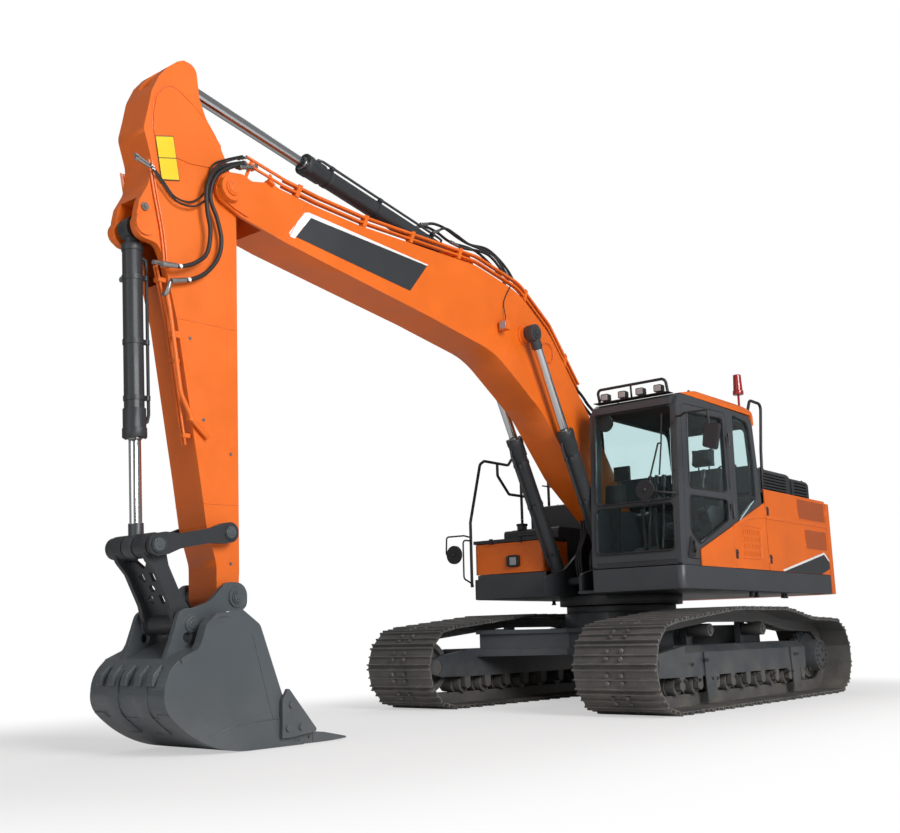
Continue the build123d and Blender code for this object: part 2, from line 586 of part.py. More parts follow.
cowl_shape = [(-700, BODY_TOP + 1), (-700, 2400, 70), (1160, 2400, 70), (1160, BODY_TOP + 1)]
cowl_inside = [(-688, BODY_TOP), (-688, 2388, 58), (1148, 2388, 58), (1148, BODY_TOP)]
cowl = wall(cowl_shape, -2500, -1996) - wall(cowl_inside, -2488, -2008)
for k in range(5):
    z = BODY_TOP + 60 + 36 * k
    cowl -= block(-2440, -2060, 1140, 1170, z, z + 15)
save("rear_cowl", cowl)
stack = upright(-2150, 700, 62, 2400.5, 2440)
stack += pipe([(-2150, 700, 2430), (-2150, 700, 2500), (-2240, 700, 2560)], 42, 40)
save("exhaust", stack)

RAIL = 16.0                    # radius of the rail tubes
front_rail = pipe([(824, -1345, 1200), (824, -1345, 1900), (715, -1275, 2545), (640, -1275, 2590),
                   (190, -1275, 2590), (110, -1275, 2675), (-50, -1275, 2675), (-50, -1275, 1835)], RAIL, 50)
slope_rail = pipe([(397, -1275, 2580), (397, -1275, 2450), (190, -1275, 2256), (-249, -1275, 2256)], RAIL, 45)
foot = block(799, 830, -1352, -1338, 1205, 1225) + block(-62, -38, -1285, -1265, 1830.5, 1840)
step_rail = pipe([(830, -1340, 1700), (960, -1345, 1700), (960, -1345, 1290), (812, -1345, 1235)], 9, 40)
tank_post = upright(-500, -1200, RAIL, 2140.5, 2600)
tank_post += block(-620, -380, -1212, -1188, 2392, 2404)
cab_rail = pipe([(-684, 1250, 2890), (-800, 1250, 3110), (-1090, 1250, 3110), (-1000, 1250, 2600),
                 (-960, 1250, BODY_TOP + 8)], RAIL, 60)
save("handrails", [front_rail + slope_rail + step_rail + foot, tank_post, cab_rail])
beacon = upright(-440, 1290, 12, 2993, 3120) + upright(-440, 1290, 55, 3110, 3150)
beacon += Pos(-440, 1290, 3235) * Cone(48, 40, 172)
save("beacon", beacon)

LAMP_X = 1045.0
lamps = []
for k in range(4):
    y = 590 + 195 * k
    lamp = wall([(y - 42, 2914, 14), (y + 42, 2914, 14), (y + 42, 2984, 14), (y - 42, 2984, 14)], LAMP_X, LAMP_X + 62)
    lamps.append(lamp + block(LAMP_X + 10, LAMP_X + 40, y - 12, y + 12, 2907, 2916))
bar = block(985, 1100, 455, 1275, 2903, 2908)
guard = pipe([(LAMP_X - 20, 490, 2907), (LAMP_X + 20, 490, 3040), (LAMP_X + 20, 1240, 3040), (LAMP_X - 20, 1240, 2907)],
             14, 45)
guard += between((LAMP_X + 20, 865, 3040), (LAMP_X + 10, 865, 2907), 10)
box_lamp = block(790, 812, -850, -750, 1400, 1500)
save("work_lamps", [lamps[0] + lamps[1] + lamps[2] + lamps[3] + bar + guard, box_lamp])

mirror = wall([(1682, 2524, 25), (1827, 2503, 25), (1776, 2268, 25), (1650, 2314, 25)], 1172, 1224)
mirror += pipe([(1100, CAB_LEFT, 2650), (1100, 1400, 2652), (1198, 1480, 2652), (1198, 1712, 2648), (1198, 1724, 2480)],
               10, 35)
face = Pos(1250, 1060, 1976) * Rot(0, 90, 0)
round_mirror = face * Cylinder(92, 30)
round_mirror += pipe([(1132, CAB_LEFT - 10, 1930), (1180, CAB_LEFT - 10, 1930), (1248, 1230, 1940), (1248, 1060, 1976)],
                     10, 20)
face = Pos(850, -1560, 1560) * Rot(0, 90, 0)
right_mirror = face * Cylinder(100, 28)
right_mirror += pipe([(851, -1345, 1740), (851, -1420, 1760), (850, -1665, 1762), (850, -1675, 1560), (850, -1590, 1560)],
                     9, 30)
save("mirrors", [mirror, round_mirror, right_mirror])


# ---------------------------------------------------------------- boom
boom_outline = [(-112, -112, 105), (-112, 128, 105), (940, 765, 700), (1830, 1215, 700), (2420, 1330, 900),
                (3069, 1195, 600), (4476, 600), (4943, 436), (5300, 331, 60), (5387, 321, 60), (5541, 209, 60),
                (5631, 205, 40), (5796, 104, 95), (5796, -108, 95), (5510, -106, 200), (5090, -26), (4435, 130),
                (3480, 360, 1500), (2560, 556, 900), (1700, 390, 900), (980, 60, 700), (150, -124, 60)]
boom_side = [(*boom_xz(*p[:2]), *p[2:]) for p in boom_outline]
boom = plate(boom_side, -BOOM_HALF, BOOM_HALF)
boom -= across(BOOM_FOOT, 45.05, -BOOM_HALF - 1, BOOM_HALF + 1)
FORK_IN = ARM_HALF + 14         # half the gap of the fork at the boom's tip
fork_cut = [boom_xz(a, b) for a, b in ((5310, 420), (5310, -220), (5900, -220), (5900, 420))]
boom -= plate(fork_cut, -FORK_IN, FORK_IN)
SHEET = 16.0                   # plates of the boom and arm boxes
inner = offset(outline(boom_side), -SHEET, kind=Kind.INTERSECTION)
inner = Pos(0, SHEET - BOOM_HALF, 0) * extrude(Plane.XZ * inner, amount=2 * (BOOM_HALF - SHEET), dir=(0, 1, 0))
inner &= plate([boom_xz(a, b) for a, b in ((260, -500), (260, 1500), (5290, 1500), (5290, -500))], -400, 400)
boom -= inner
tip = boom_xz(5703, 0)
for side in (-1, 1):
    boom += across(BOOM_CYL_PIN, 95, *pair(side, BOOM_HALF - 5, BOOM_HALF + 18))
    boom += across(BOOM_CYL_PIN, 75, *pair(side, BOOM_HALF - 5, BOOM_CYL_Y - 57))
    doubler = [(5470, -80, 30), (5470, 180, 60), (5640, 180, 60), (5790, 90, 80), (5790, -96, 80), (5600, -96, 40)]
    boom += plate([(*boom_xz(*p[:2]), *p[2:]) for p in doubler], *pair(side, BOOM_HALF - 2, BOOM_HALF + 16))
    boom += across(ARM_PIN, 92, *pair(side, FORK_IN, BOOM_HALF + 62))
    boom += across(ARM_PIN, 58, *pair(side, BOOM_HALF + 60, BOOM_HALF + 74))
    foot = across(BOOM_FOOT, 110, *pair(side, BOOM_HALF - 2, BOOM_HALF + 5))
    boom += foot - across(BOOM_FOOT, 45.05, *pair(side, BOOM_HALF - 20, BOOM_HALF + 20))
    ear = [(2960, 1180), (3100, 1282, 60), (3250, 1282, 72), (3470, 1118, 60), (3480, 1000), (2960, 1100)]
    boom += plate([(*boom_xz(*p[:2]), *p[2:]) for p in ear], *pair(side, 98, 128))
boom += across(ARM_CYL_BASE, 40, -128, 128)
save("boom", boom)

# steel pipes on the boom: distance from the middle, height over the top plate, radius
BOOM_PIPES = ((174.0, 50.0, 11.0), (146.0, 52.0, 12.0), (174.0, 104.0, 12.0), (146.0, 106.0, 11.0),
              (-148.0, 52.0, 12.0), (-174.0, 50.0, 11.0))
pipe_route = [(1200, 905), (1850, 1226), (2420, 1338), (3069, 1200), (4476, 600), (4943, 436), (5270, 340)]
pipe_end = (5650, 262)         # only the outer pipes reach over the fork
pipes = None
for y, rise_up, radius in BOOM_PIPES:
    ends = [pipe_end] if y == 174.0 else []
    points = [boom_xz(a, b + rise_up) for a, b in pipe_route + ends]
    run = pipe([(x, y, z) for x, z in points], radius, [250, 400, 500, 300, 60] + [100] * len(ends))
    pipes = run if pipes is None else pipes + run
for a in (1500, 2300, 3300, 3900, 4430, 5130):   # clamps, standing on the top plate
    near = min(range(1, len(pipe_route)), key=lambda i: abs(a - (pipe_route[i][0] + pipe_route[i - 1][0]) / 2))
    (a0, b0), (a1, b1) = pipe_route[near - 1], pipe_route[near]
    b = b0 + (b1 - b0) * (a - a0) / (a1 - a0)
    slope = (b1 - b0) / (a1 - a0)
    corners = [boom_xz(a + da, b + da * slope + db) for da, db in ((-18, 8), (18, 8), (18, 126), (-18, 126))]
    pipes += plate(corners, 132, 188)
    corners = [boom_xz(a + da, b + da * slope + db) for da, db in ((-18, 8), (18, 8), (18, 82), (-18, 82))]
    pipes += plate(corners, -188, -134)
save("boom_pipes", pipes)

x, z = boom_xz(2580, 828)
lamp = wall([(212, z - 45, 12), (300, z - 45, 12), (300, z + 45, 12), (212, z + 45, 12)], x - 30, x + 34)
lamp += block(x - 22, x + 10, BOOM_HALF, 214, z - 30, z + 6)
save("boom_lamp", lamp)


# ---------------------------------------------------------------- cylinders
def cylinder_pair(base, pin, closed_gland, rod_reach, tube, rod, eye_half, eye_r, y=0.0, pin_r=40.0):
    """Barrel and rod of one hydraulic cylinder in the plane Y = y."""
    def bar(low, high, radius):
        a = along(base, pin, low)
        b = along(base, pin, high)
        return between((a[0], y, a[1]), (b[0], y, b[1]), radius)

    barrel = bar(eye_r + 30, closed_gland, tube)
    barrel += bar(closed_gland - 190, closed_gland - 60, tube + 9) + bar(closed_gland - 60, closed_gland, tube + 14)
    barrel += bar(eye_r + 30, eye_r + 75, tube + 5) + bar(0, eye_r + 40, min(eye_half, tube) - 2)
    barrel += across(base, eye_r, y - eye_half, y + eye_half)
    barrel -= across(base, pin_r + 0.05, y - eye_half - 1, y + eye_half + 1)
    barrel -= bar(eye_r + 60, closed_gland + 10, rod + 0.1)
    length = math.dist(base, pin)
    piston = bar(length - rod_reach, length - eye_r * 0.7, rod) + bar(length - eye_r - 70, length - 20, rod + 9)
    piston += across(pin, eye_r, y - eye_half, y + eye_half)
    return barrel, piston


barrels = []
rods = []
for side in (-1, 1):
    barrel, piston = cylinder_pair(BOOM_CYL_BASE, BOOM_CYL_PIN, 1598, 1590, 70, 42, 43, 82, side * BOOM_CYL_Y)
    piston += across(BOOM_CYL_PIN, 60, *pair(side, BOOM_CYL_Y + 42, BOOM_CYL_Y + 58))
    barrels.append(barrel)
    rods.append(piston)
save("boom_cylinder_barrels", barrels)
save("boom_cylinder_rods", rods)
barrel, piston = cylinder_pair(ARM_CYL_BASE, ARM_CYL_PIN, 1867, 1850, 76, 48, 52, 72)
save("arm_cylinder_barrel", barrel)
save("arm_cylinder_rod", piston)
barrel, piston = cylinder_pair(BUCKET_CYL_BASE, LINK_PIN, 1415, 1270, 66, 40, 50, 80)
save("bucket_cylinder_barrel", barrel)
save("bucket_cylinder_rod", piston)

# ---------------------------------------------------------------- arm
arm_outline = [(-499, 150, 200), (-640, 212, 80), (-735, 222, 40), (-872, 240, 75), (-880, 345), (-851, 400, 60),
               (-783, 477, 200), (-690, 551), (-560, 612, 200), (-425, 640), (-270, 676, 120), (-60, 612, 200),
               (120, 634, 150), (250, 706, 80), (330, 722, 60), (500, 745, 88), (520, 560, 60), (640, 505),
               (1024, 405), (2058, 225), (2400, 170), (2650, 90, 200), (2962, 88, 87), (2962, -88, 87),
               (2700, -104), (374, -112, 400), (0, -108, 100), (-204, -40, 300), (-397, 65)]
arm_side = [(*arm_xz(*p[:2]), *p[2:]) for p in arm_outline]
arm = plate(arm_side, -ARM_HALF, ARM_HALF)
for hollow in (((110, -94), (2300, -88), (2300, 168), (2058, 207), (1024, 386), (640, 486), (500, 520), (110, 430)),
               ((-520, 200), (-390, 90), (-200, -18), (-110, -50), (-110, 580), (-270, 640), (-425, 612), (-520, 585))):
    arm -= plate([arm_xz(a, b) for a, b in hollow], SHEET - ARM_HALF, ARM_HALF - SHEET)
slot = [arm_xz(a, b) for a, b in ((-560, 100), (-560, 430), (-650, 600), (-650, 720), (-1100, 720), (-1100, 100))]
arm -= plate(slot, -62, 62)
slot = [arm_xz(a, b) for a, b in ((215, 560), (215, 900), (760, 900), (760, 400))]
arm -= plate(slot, -92, 92)
arm -= across(ARM_PIN, 45.05, -ARM_HALF - 1, ARM_HALF + 1)
arm -= across(BUCKET_PIN, 40.05, -ARM_HALF - 1, ARM_HALF + 1)
arm -= across(SIDE_LINK_PIN, 36.05, -ARM_HALF - 1, ARM_HALF + 1)
arm += across(BUCKET_CYL_BASE, 40, -100, 100)
SIDE_DOUBLER = 7.0             # raised plate on the arm's head
doubler = [(-277, 600, 60), (-388, 600), (-528, 576, 80), (-622, 500, 80), (-630, 400), (-557, 262, 120),
           (-480, 160, 60), (-330, 30), (-160, -20, 80), (-120, 300, 200), (-140, 560, 60)]
for side in (-1, 1):
    arm += plate([(*arm_xz(*p[:2]), *p[2:]) for p in doubler], *pair(side, ARM_HALF - 1, ARM_HALF + SIDE_DOUBLER))
    arm += across(BUCKET_CYL_BASE, 78, *pair(side, 91, ARM_HALF + 16))
    ring = across(SIDE_LINK_PIN, 72, *pair(side, ARM_HALF - 1, ARM_HALF + 5))
    arm += ring - across(SIDE_LINK_PIN, 36.05, *pair(side, ARM_HALF - 2, ARM_HALF + 8))
save("arm", arm)

# steel pipes and clamps on the arm: side, local route (along, up), radius
left = ARM_HALF + 24
thin = [(660, 512), (1024, 424), (1860, 282)]
thick = [(860, 505), (970, 480), (1525, 395), (1700, 300), (1810, 175)]
pipes = pipe([(arm_xz(a, b)[0], left, arm_xz(a, b)[1]) for a, b in thick], 15, [60, 200, 120])
for a, b in ((1133, 440), (1683, 300)):
    x, z = arm_xz(a, b)
    pipes += block(x - 30, x + 30, ARM_HALF, left + 12, z - 22, z + 22)
front_pipes = None
for y in (88, 116):
    run = pipe([(arm_xz(a, b + 34)[0], y, arm_xz(a, b + 34)[1]) for a, b in thin], 9, [300])
    front_pipes = run if front_pipes is None else front_pipes + run
for a, b in ((760, 488), (1300, 377), (1800, 292)):
    x, z = arm_xz(a, b)
    front_pipes += block(x - 8, x + 52, 74, 130, z - 13, z + 16)
save("arm_pipes", [pipes, front_pipes])

# hoses over the arm's joint: side at the boom, side at the arm, radius, route of (x, z) points
HOSES = (
    (178.0, 232.0, 15.0, ((5345, 4105), (5509, 4020), (5620, 3930), (5685, 3784), (5676, 3625), (5646, 3487),
                          (5668, 3320), (5758, 3225), (5872, 3167), (5953, 3153))),
    (214.0, 200.0, 15.0, ((5345, 4092), (5495, 4000), (5592, 3903), (5627, 3743), (5562, 3599), (5523, 3448),
                          (5555, 3307), (5656, 3179), (5771, 3107), (5853, 3080))),
    (180.0, 178.0, 7.0, ((5330, 4165), (5480, 4085), (5593, 4006), (5634, 3872), (5657, 3775), (5774, 3672),
                         (5908, 3667), (6008, 3751), (6099, 3828), (6155, 3845))),
)
hoses = []
for y_boom, y_arm, radius, route in HOSES:
    sides = [y_boom, y_boom * 0.7 + y_arm * 0.3, y_boom * 0.3 + y_arm * 0.7] + [y_arm] * (len(route) - 3)
    hoses.append(pipe([(x, y, z) for y, (x, z) in zip(sides, route)], radius, 60))
save("arm_hoses", hoses)

# ---------------------------------------------------------------- bucket linkage
LINK_IN = 206.0                # inner faces of the side links
LINK_OUT = 240.0
BOSS_OUT = 250.0


def link_plate(start, end, start_r, end_r, waist):
    """Outline of a link: round ends about its two pins and a straight waist, as a list of (x, z)."""
    length = math.dist(start, end)
    to_xz = frame_of(start, end)
    shape = [(-start_r, -start_r, start_r * 0.99), (start_r * 0.9, -start_r, 60), (length * 0.3, -waist),
             (length * 0.7, -waist), (length - end_r * 0.9, -end_r, 60), (length + end_r, -end_r, end_r * 0.99),
             (length + end_r, end_r, end_r * 0.99), (length - end_r * 0.9, end_r, 60), (length * 0.7, waist),
             (length * 0.3, waist), (start_r * 0.9, start_r, 60), (-start_r, start_r, start_r * 0.99)]
    return [(*to_xz(*p[:2]), *p[2:]) for p in shape]


links = []
for side in (-1, 1):
    link = plate(link_plate(SIDE_LINK_PIN, LINK_PIN, 68, 72, 48), *pair(side, LINK_IN, LINK_OUT))
    link += across(LINK_PIN, 56, *pair(side, LINK_OUT - 1, BOSS_OUT))
    link += across(SIDE_LINK_PIN, 52, *pair(side, LINK_OUT - 1, BOSS_OUT))
    link += across(SIDE_LINK_PIN, 64, *pair(side, ARM_HALF + 6, LINK_IN + 1))
    link += across(SIDE_LINK_PIN, 35.5, *pair(side, 20, ARM_HALF + 7))
    links.append(link)
save("side_links", links)

H_IN, H_OUT = 138.0, 174.0     # the two arms of the bucket link
link_shape = link_plate(LINK_PIN, BUCKET_LINK_PIN, 78, 72, 52)
bucket_link = None
for side in (-1, 1):
    arm_of_link = plate(link_shape, *pair(side, H_IN, H_OUT))
    arm_of_link += across(LINK_PIN, 78, *pair(side, 62, 198))
    bucket_link = arm_of_link if bucket_link is None else bucket_link + arm_of_link
web_length = math.dist(LINK_PIN, BUCKET_LINK_PIN)
web_ahead = Vector(BUCKET_LINK_PIN[0] - LINK_PIN[0], 0, BUCKET_LINK_PIN[1] - LINK_PIN[1])
web_plane = Plane(origin=(LINK_PIN[0], 0, LINK_PIN[1]), x_dir=web_ahead, z_dir=web_ahead.cross(Vector(0, 1, 0)))
web = outline([(100, -H_IN - 2), (web_length - 40, -H_IN - 2), (web_length - 40, H_IN + 2), (100, H_IN + 2),
               (100, 60, 30), (160, 0, 20), (100, -60, 30)])
for a, reach in ((215, 1), (375, -1)):           # lightening holes: two triangles a side and a round one
    for side in (-1, 1):
        web -= outline([(a - 45 * reach, side * 36, 14), (a + 45 * reach, side * 36, 14), (a, side * 112, 14)])
web -= Pos(295, 0) * Circle(26)
bucket_link += extrude(web_plane * web, amount=12, both=True)
bucket_link += across(BUCKET_LINK_PIN, 70, -H_OUT, H_OUT)
bucket_link -= across(BUCKET_LINK_PIN, 40.05, -250, 250)
save("bucket_link", bucket_link)

# ---------------------------------------------------------------- bucket
LIP = (4900.0, 2.0)            # where the lip plate ends, under the adapters
back = [(5720, 2, 900), (6040, 300, 170), (6030, 500, 220), (5931, 592)]
body = [LIP, *back, (5800, 650, 100), (5640, 700, 120), (5545, 800, 100), (5470, 880), (5100, 440)]
skin = outline(body)
hollow = offset(skin, -26, kind=Kind.INTERSECTION)
bucket = extrude(Plane.XZ * (skin - hollow), amount=2 * BUCKET_HALF, dir=(0, 1, 0))
bucket = Pos(0, -BUCKET_HALF, 0) * bucket
mouth = [(4890, 32), (5130, 32), (5440, 862), (5500, 905), (5300, 905), (4890, 300)]
bucket -= plate(mouth, -BUCKET_HALF - 1, BUCKET_HALF + 1)
SIDE_PLATE = 20.0
side_shape = [(5000, 2), *back, (5800, 648, 40), (5777, 690), (5741, 800, 50), (5661, 868, 60), (5560, 876),
              (5450, 897, 20), (5294, 796, 70), (5100, 345), (5022, 235, 40), (4990, 60)]
for side in (-1, 1):
    bucket += plate(side_shape, *pair(side, BUCKET_HALF - SIDE_PLATE, BUCKET_HALF))
    flange = [(5931, 592), (5800, 648, 40), (5777, 690), (5741, 800, 50), (5661, 868, 60), (5560, 876), (5550, 852),
              (5645, 846, 40), (5718, 790, 30), (5756, 680), (5788, 624, 30), (5920, 566)]
    bucket += plate(flange, *pair(side, BUCKET_HALF - 62, BUCKET_HALF + 10))
    wear = [(5020, 4), (5720, 4, 900), (5800, 76), (5640, 138), (5386, 168, 200), (5130, 182), (5030, 182)]
    bucket += plate(wear, *pair(side, BUCKET_HALF - 1, BUCKET_HALF + 9))
    ear = [(5278, 1075, 92), (5452, 1078, 80), (5585, 950, 150), (5720, 905, 60), (5822, 902, 78), (5884, 700, 100),
           (5930, 590), (5800, 640), (5650, 690), (5545, 780), (5450, 884), (5278, 896, 60)]
    eared = plate(ear, *pair(side, 203, 240))
    eared -= across((5762, 722), 34, *pair(side, 200, 245))
    bucket += eared + across(BUCKET_PIN, 84, *pair(side, ARM_HALF + 8, 241))
    bucket += across(BUCKET_PIN, 66, *pair(side, 239, 254)) + across(BUCKET_PIN, 46, *pair(side, 253, 264))
    bucket += across(BUCKET_LINK_PIN, 74, *pair(side, H_OUT + 6, 204)) + across(BUCKET_LINK_PIN, 56, *pair(side, 239, 252))
bucket += across(BUCKET_PIN, 40, -255, 255) + across(BUCKET_LINK_PIN, 40, -255, 255)
strip = offset(skin, 9, kind=Kind.INTERSECTION) - offset(skin, -12, kind=Kind.INTERSECTION)
strip = extrude(Plane.XZ * strip, amount=140, dir=(0, 1, 0)) & block(5850, 6200, -1, 141, 90, 540)
for y in (-150, 150):                            # wear strips over the back
    bucket += Pos(0, y - 70, 0) * strip
TEETH = 4
tooth_side = [(4470, 10), (4690, 3, 200), (4806, 3), (4806, 78), (4700, 66), (4480, 22)]
adapter_side = [(4812, 4), (4812, 74, 10), (4960, 84, 40), (5120, 46), (5120, 27), (4905, 27), (4905, 4)]
adapters = None
teeth = []
for k in range(TEETH):
    y = (k - (TEETH - 1) / 2) * (2 * BUCKET_HALF - 110) / (TEETH - 1)
    wedge = plate(tooth_side, y - 48, y + 48)
    taper = flat([(4440, y - 30), (4600, y - 46), (4820, y - 46), (4820, y + 46), (4600, y + 46), (4440, y + 30)], 0, 100)
    teeth.append(wedge & taper)
    bucket += plate(adapter_side, y - 46, y + 46)
save("bucket", bucket)
save("bucket_teeth", teeth)
cutters = []
for side in (-1, 1):
    cutter = plate([(4800, 84, 15), (5074, 382, 15), (5122, 300), (5122, 60), (5030, 60)],
                   *pair(side, BUCKET_HALF + 9.5, BUCKET_HALF + 34))
    for x, z in ((4960, 120), (5075, 120), (5050, 270)):
        cutter += across((x, z), 20, *pair(side, BUCKET_HALF + 33, BUCKET_HALF + 50))
    cutters.append(cutter)
save("side_cutters", cutters)
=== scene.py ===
"""Looks of a tracked excavator: finishes, fittings, floor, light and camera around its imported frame."""

import json
import logging
import math
from collections.abc import Callable, Sequence
from dataclasses import dataclass, field, replace
from enum import Enum

import bmesh
import bpy
from mathutils import Matrix, Vector


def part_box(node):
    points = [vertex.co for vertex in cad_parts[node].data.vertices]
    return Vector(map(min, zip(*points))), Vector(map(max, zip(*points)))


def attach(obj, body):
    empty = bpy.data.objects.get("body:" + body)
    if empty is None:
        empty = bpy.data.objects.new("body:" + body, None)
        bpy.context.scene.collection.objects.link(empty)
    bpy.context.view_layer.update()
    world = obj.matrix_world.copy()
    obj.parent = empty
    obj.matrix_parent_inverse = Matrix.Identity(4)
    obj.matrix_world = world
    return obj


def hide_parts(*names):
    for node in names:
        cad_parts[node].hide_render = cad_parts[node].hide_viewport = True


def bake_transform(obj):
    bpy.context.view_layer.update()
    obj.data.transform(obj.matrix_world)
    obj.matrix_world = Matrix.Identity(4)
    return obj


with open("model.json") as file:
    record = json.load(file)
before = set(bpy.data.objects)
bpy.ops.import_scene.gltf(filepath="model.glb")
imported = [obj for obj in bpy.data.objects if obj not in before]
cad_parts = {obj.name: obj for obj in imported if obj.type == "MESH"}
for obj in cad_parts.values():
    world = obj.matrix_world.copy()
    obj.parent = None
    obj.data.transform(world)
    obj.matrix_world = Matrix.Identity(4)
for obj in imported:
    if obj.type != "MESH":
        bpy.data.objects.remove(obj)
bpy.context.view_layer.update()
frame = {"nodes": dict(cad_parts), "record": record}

log = logging.getLogger("excavator")
Colour = tuple[float, float, float]
Point = tuple[float, float, float]
Flat = tuple[float, float]

MM = 0.001
SHARP_DEGREES = 35.0


# ================================================================ node groups
class NodeTree:
    """A short way to write node trees: add nodes, set plain values, link sockets."""

    def __init__(self, tree: bpy.types.NodeTree) -> None:
        """Keep the tree to be filled.

        Args:
            tree: Empty shader node tree.
        """
        self.tree = tree

    def add(self, kind: str, values: dict | None = None, **settings: object) -> bpy.types.Node:
        """Add one node.

        Args:
            kind: Node type without its ShaderNode prefix.
            values: Input name or index with its value, or with the socket to link from.
            **settings: Plain attributes of the node.

        Returns:
            The new node.
        """
        prefix = "" if kind.startswith("Node") else "ShaderNode"
        node = self.tree.nodes.new(prefix + kind)
        for key, value in settings.items():
            setattr(node, key, value)
        self.fill(node, values or {})
        return node

    def fill(self, node: bpy.types.Node, values: dict) -> None:
        """Set inputs of a node.

        Args:
            node: Node to fill.
            values: Input name or index with its value, or with the socket to link from.
        """
        for key, value in values.items():
            socket = node.inputs[key]
            if isinstance(value, bpy.types.NodeSocket):
                self.tree.links.new(value, socket)
            elif isinstance(value, tuple) and len(value) == 3 and socket.type == "RGBA":
                socket.default_value = (*value, 1.0)
            else:
                socket.default_value = value

    def math(self, operation: str, *values: object, clamp: bool = False) -> bpy.types.NodeSocket:
        """Add a Math node.

        Args:
            operation: Blender's name of the operation.
            *values: Numbers or sockets.
            clamp: Keep the result between 0 and 1.

        Returns:
            Its result.
        """
        inputs = dict(enumerate(values))
        return self.add("Math", inputs, operation=operation, use_clamp=clamp).outputs[0]

    def ramp(self, value: bpy.types.NodeSocket, low: float, high: float) -> bpy.types.NodeSocket:
        """Map low..high of a value to 0..1, smoothly.

        Args:
            value: What to map.
            low: Where 0 ends.
            high: Where 1 starts.

        Returns:
            The mapped value.
        """
        inputs = {"Value": value, "From Min": low, "From Max": high}
        return self.add("MapRange", inputs, interpolation_type="SMOOTHSTEP").outputs[0]

    def mix(self, factor: object, a: object, b: object) -> bpy.types.NodeSocket:
        """Mix two colours.

        Args:
            factor: Number or socket.
            a: Colour at 0.
            b: Colour at 1.

        Returns:
            The mixed colour.
        """
        return self.add("Mix", {0: factor, 6: a, 7: b}, data_type="RGBA").outputs[2]

    def noise(self, place: bpy.types.NodeSocket, scale: object, detail: float,
              roughness: float = 0.5) -> bpy.types.NodeSocket:
        """Add a noise texture.

        Args:
            place: Coordinates it runs over.
            scale: Number or socket.
            detail: Octaves.
            roughness: Share of each finer octave.

        Returns:
            Its value, from 0 to 1.
        """
        inputs = {"Vector": place, "Scale": scale, "Detail": detail, "Roughness": roughness}
        return self.add("TexNoise", inputs).outputs["Fac"]


class Effect(Enum):
    """Surface effects that several materials share."""

    WEAR = "edge_wear"
    DUST = "settled_dust"
    GRAIN = "surface_grain"


def effect_group(effect: Effect) -> bpy.types.NodeTree:
    """Find or build the node group of an effect.

    Args:
        effect: Which effect.

    Returns:
        The shader node group.
    """
    found = bpy.data.node_groups.get(effect.value)
    if found:
        return found
    group = bpy.data.node_groups.new(effect.value, "ShaderNodeTree")
    BUILDERS[effect](group)
    return group


def group_sockets(group: bpy.types.NodeTree, inputs: dict[str, float], outputs: Sequence[str]) -> None:
    """Give a group its named float sockets.

    Args:
        group: Node group.
        inputs: Name and default of each input.
        outputs: Names of the outputs.
    """
    for name, value in inputs.items():
        socket = group.interface.new_socket(name=name, in_out="INPUT", socket_type="NodeSocketFloat")
        socket.default_value = value
    for name in outputs:
        group.interface.new_socket(name=name, in_out="OUTPUT", socket_type="NodeSocketFloat")


def build_wear(group: bpy.types.NodeTree) -> None:
    """Rubbed edges: where the rounded normal leaves the true one, broken up by noise.

    Args:
        group: Empty node group.
    """
    group_sockets(group, {"Radius": 0.006, "Amount": 0.5, "Scale": 9.0}, ("Mask",))
    tree = NodeTree(group)
    given = tree.add("NodeGroupInput")
    place = tree.add("TexCoord").outputs["Object"]
    rounded = tree.add("Bevel", {"Radius": given.outputs["Radius"]}, samples=4)
    true = tree.add("NewGeometry").outputs["Normal"]
    dot = tree.add("VectorMath", {0: rounded.outputs[0], 1: true}, operation="DOT_PRODUCT").outputs["Value"]
    edge = tree.ramp(tree.math("SUBTRACT", 1.0, dot), 0.015, 0.16)
    broken = tree.ramp(tree.noise(place, given.outputs["Scale"], 6.0, 0.65), 0.46, 0.62)
    mask = tree.math("MULTIPLY", tree.math("MULTIPLY", edge, broken), given.outputs["Amount"], clamp=True)
    tree.add("NodeGroupOutput", {"Mask": mask})


def build_dust(group: bpy.types.NodeTree) -> None:
    """Dust that settles on upward faces and splashes up from the ground.

    Args:
        group: Empty node group.
    """
    group_sockets(group, {"Top": 0.3, "Splash": 0.5, "Splash Height": 1.0, "Scale": 3.0}, ("Mask",))
    tree = NodeTree(group)
    given = tree.add("NodeGroupInput")
    place = tree.add("TexCoord").outputs["Object"]
    up = tree.add("SeparateXYZ", {0: tree.add("NewGeometry").outputs["Normal"]}).outputs["Z"]
    height = tree.add("SeparateXYZ", {0: place}).outputs["Z"]
    noise = tree.noise(place, given.outputs["Scale"], 8.0, 0.6)
    on_top = tree.math("MULTIPLY", tree.ramp(up, 0.35, 0.95), given.outputs["Top"])
    low = tree.math("DIVIDE", height, given.outputs["Splash Height"])
    near_ground = tree.ramp(tree.math("SUBTRACT", 1.0, low), 0.0, 1.0)
    splash = tree.math("MULTIPLY", near_ground, given.outputs["Splash"])
    together = tree.math("ADD", on_top, splash)
    mask = tree.math("MULTIPLY", together, tree.ramp(noise, 0.30, 0.72), clamp=True)
    tree.add("NodeGroupOutput", {"Mask": mask})


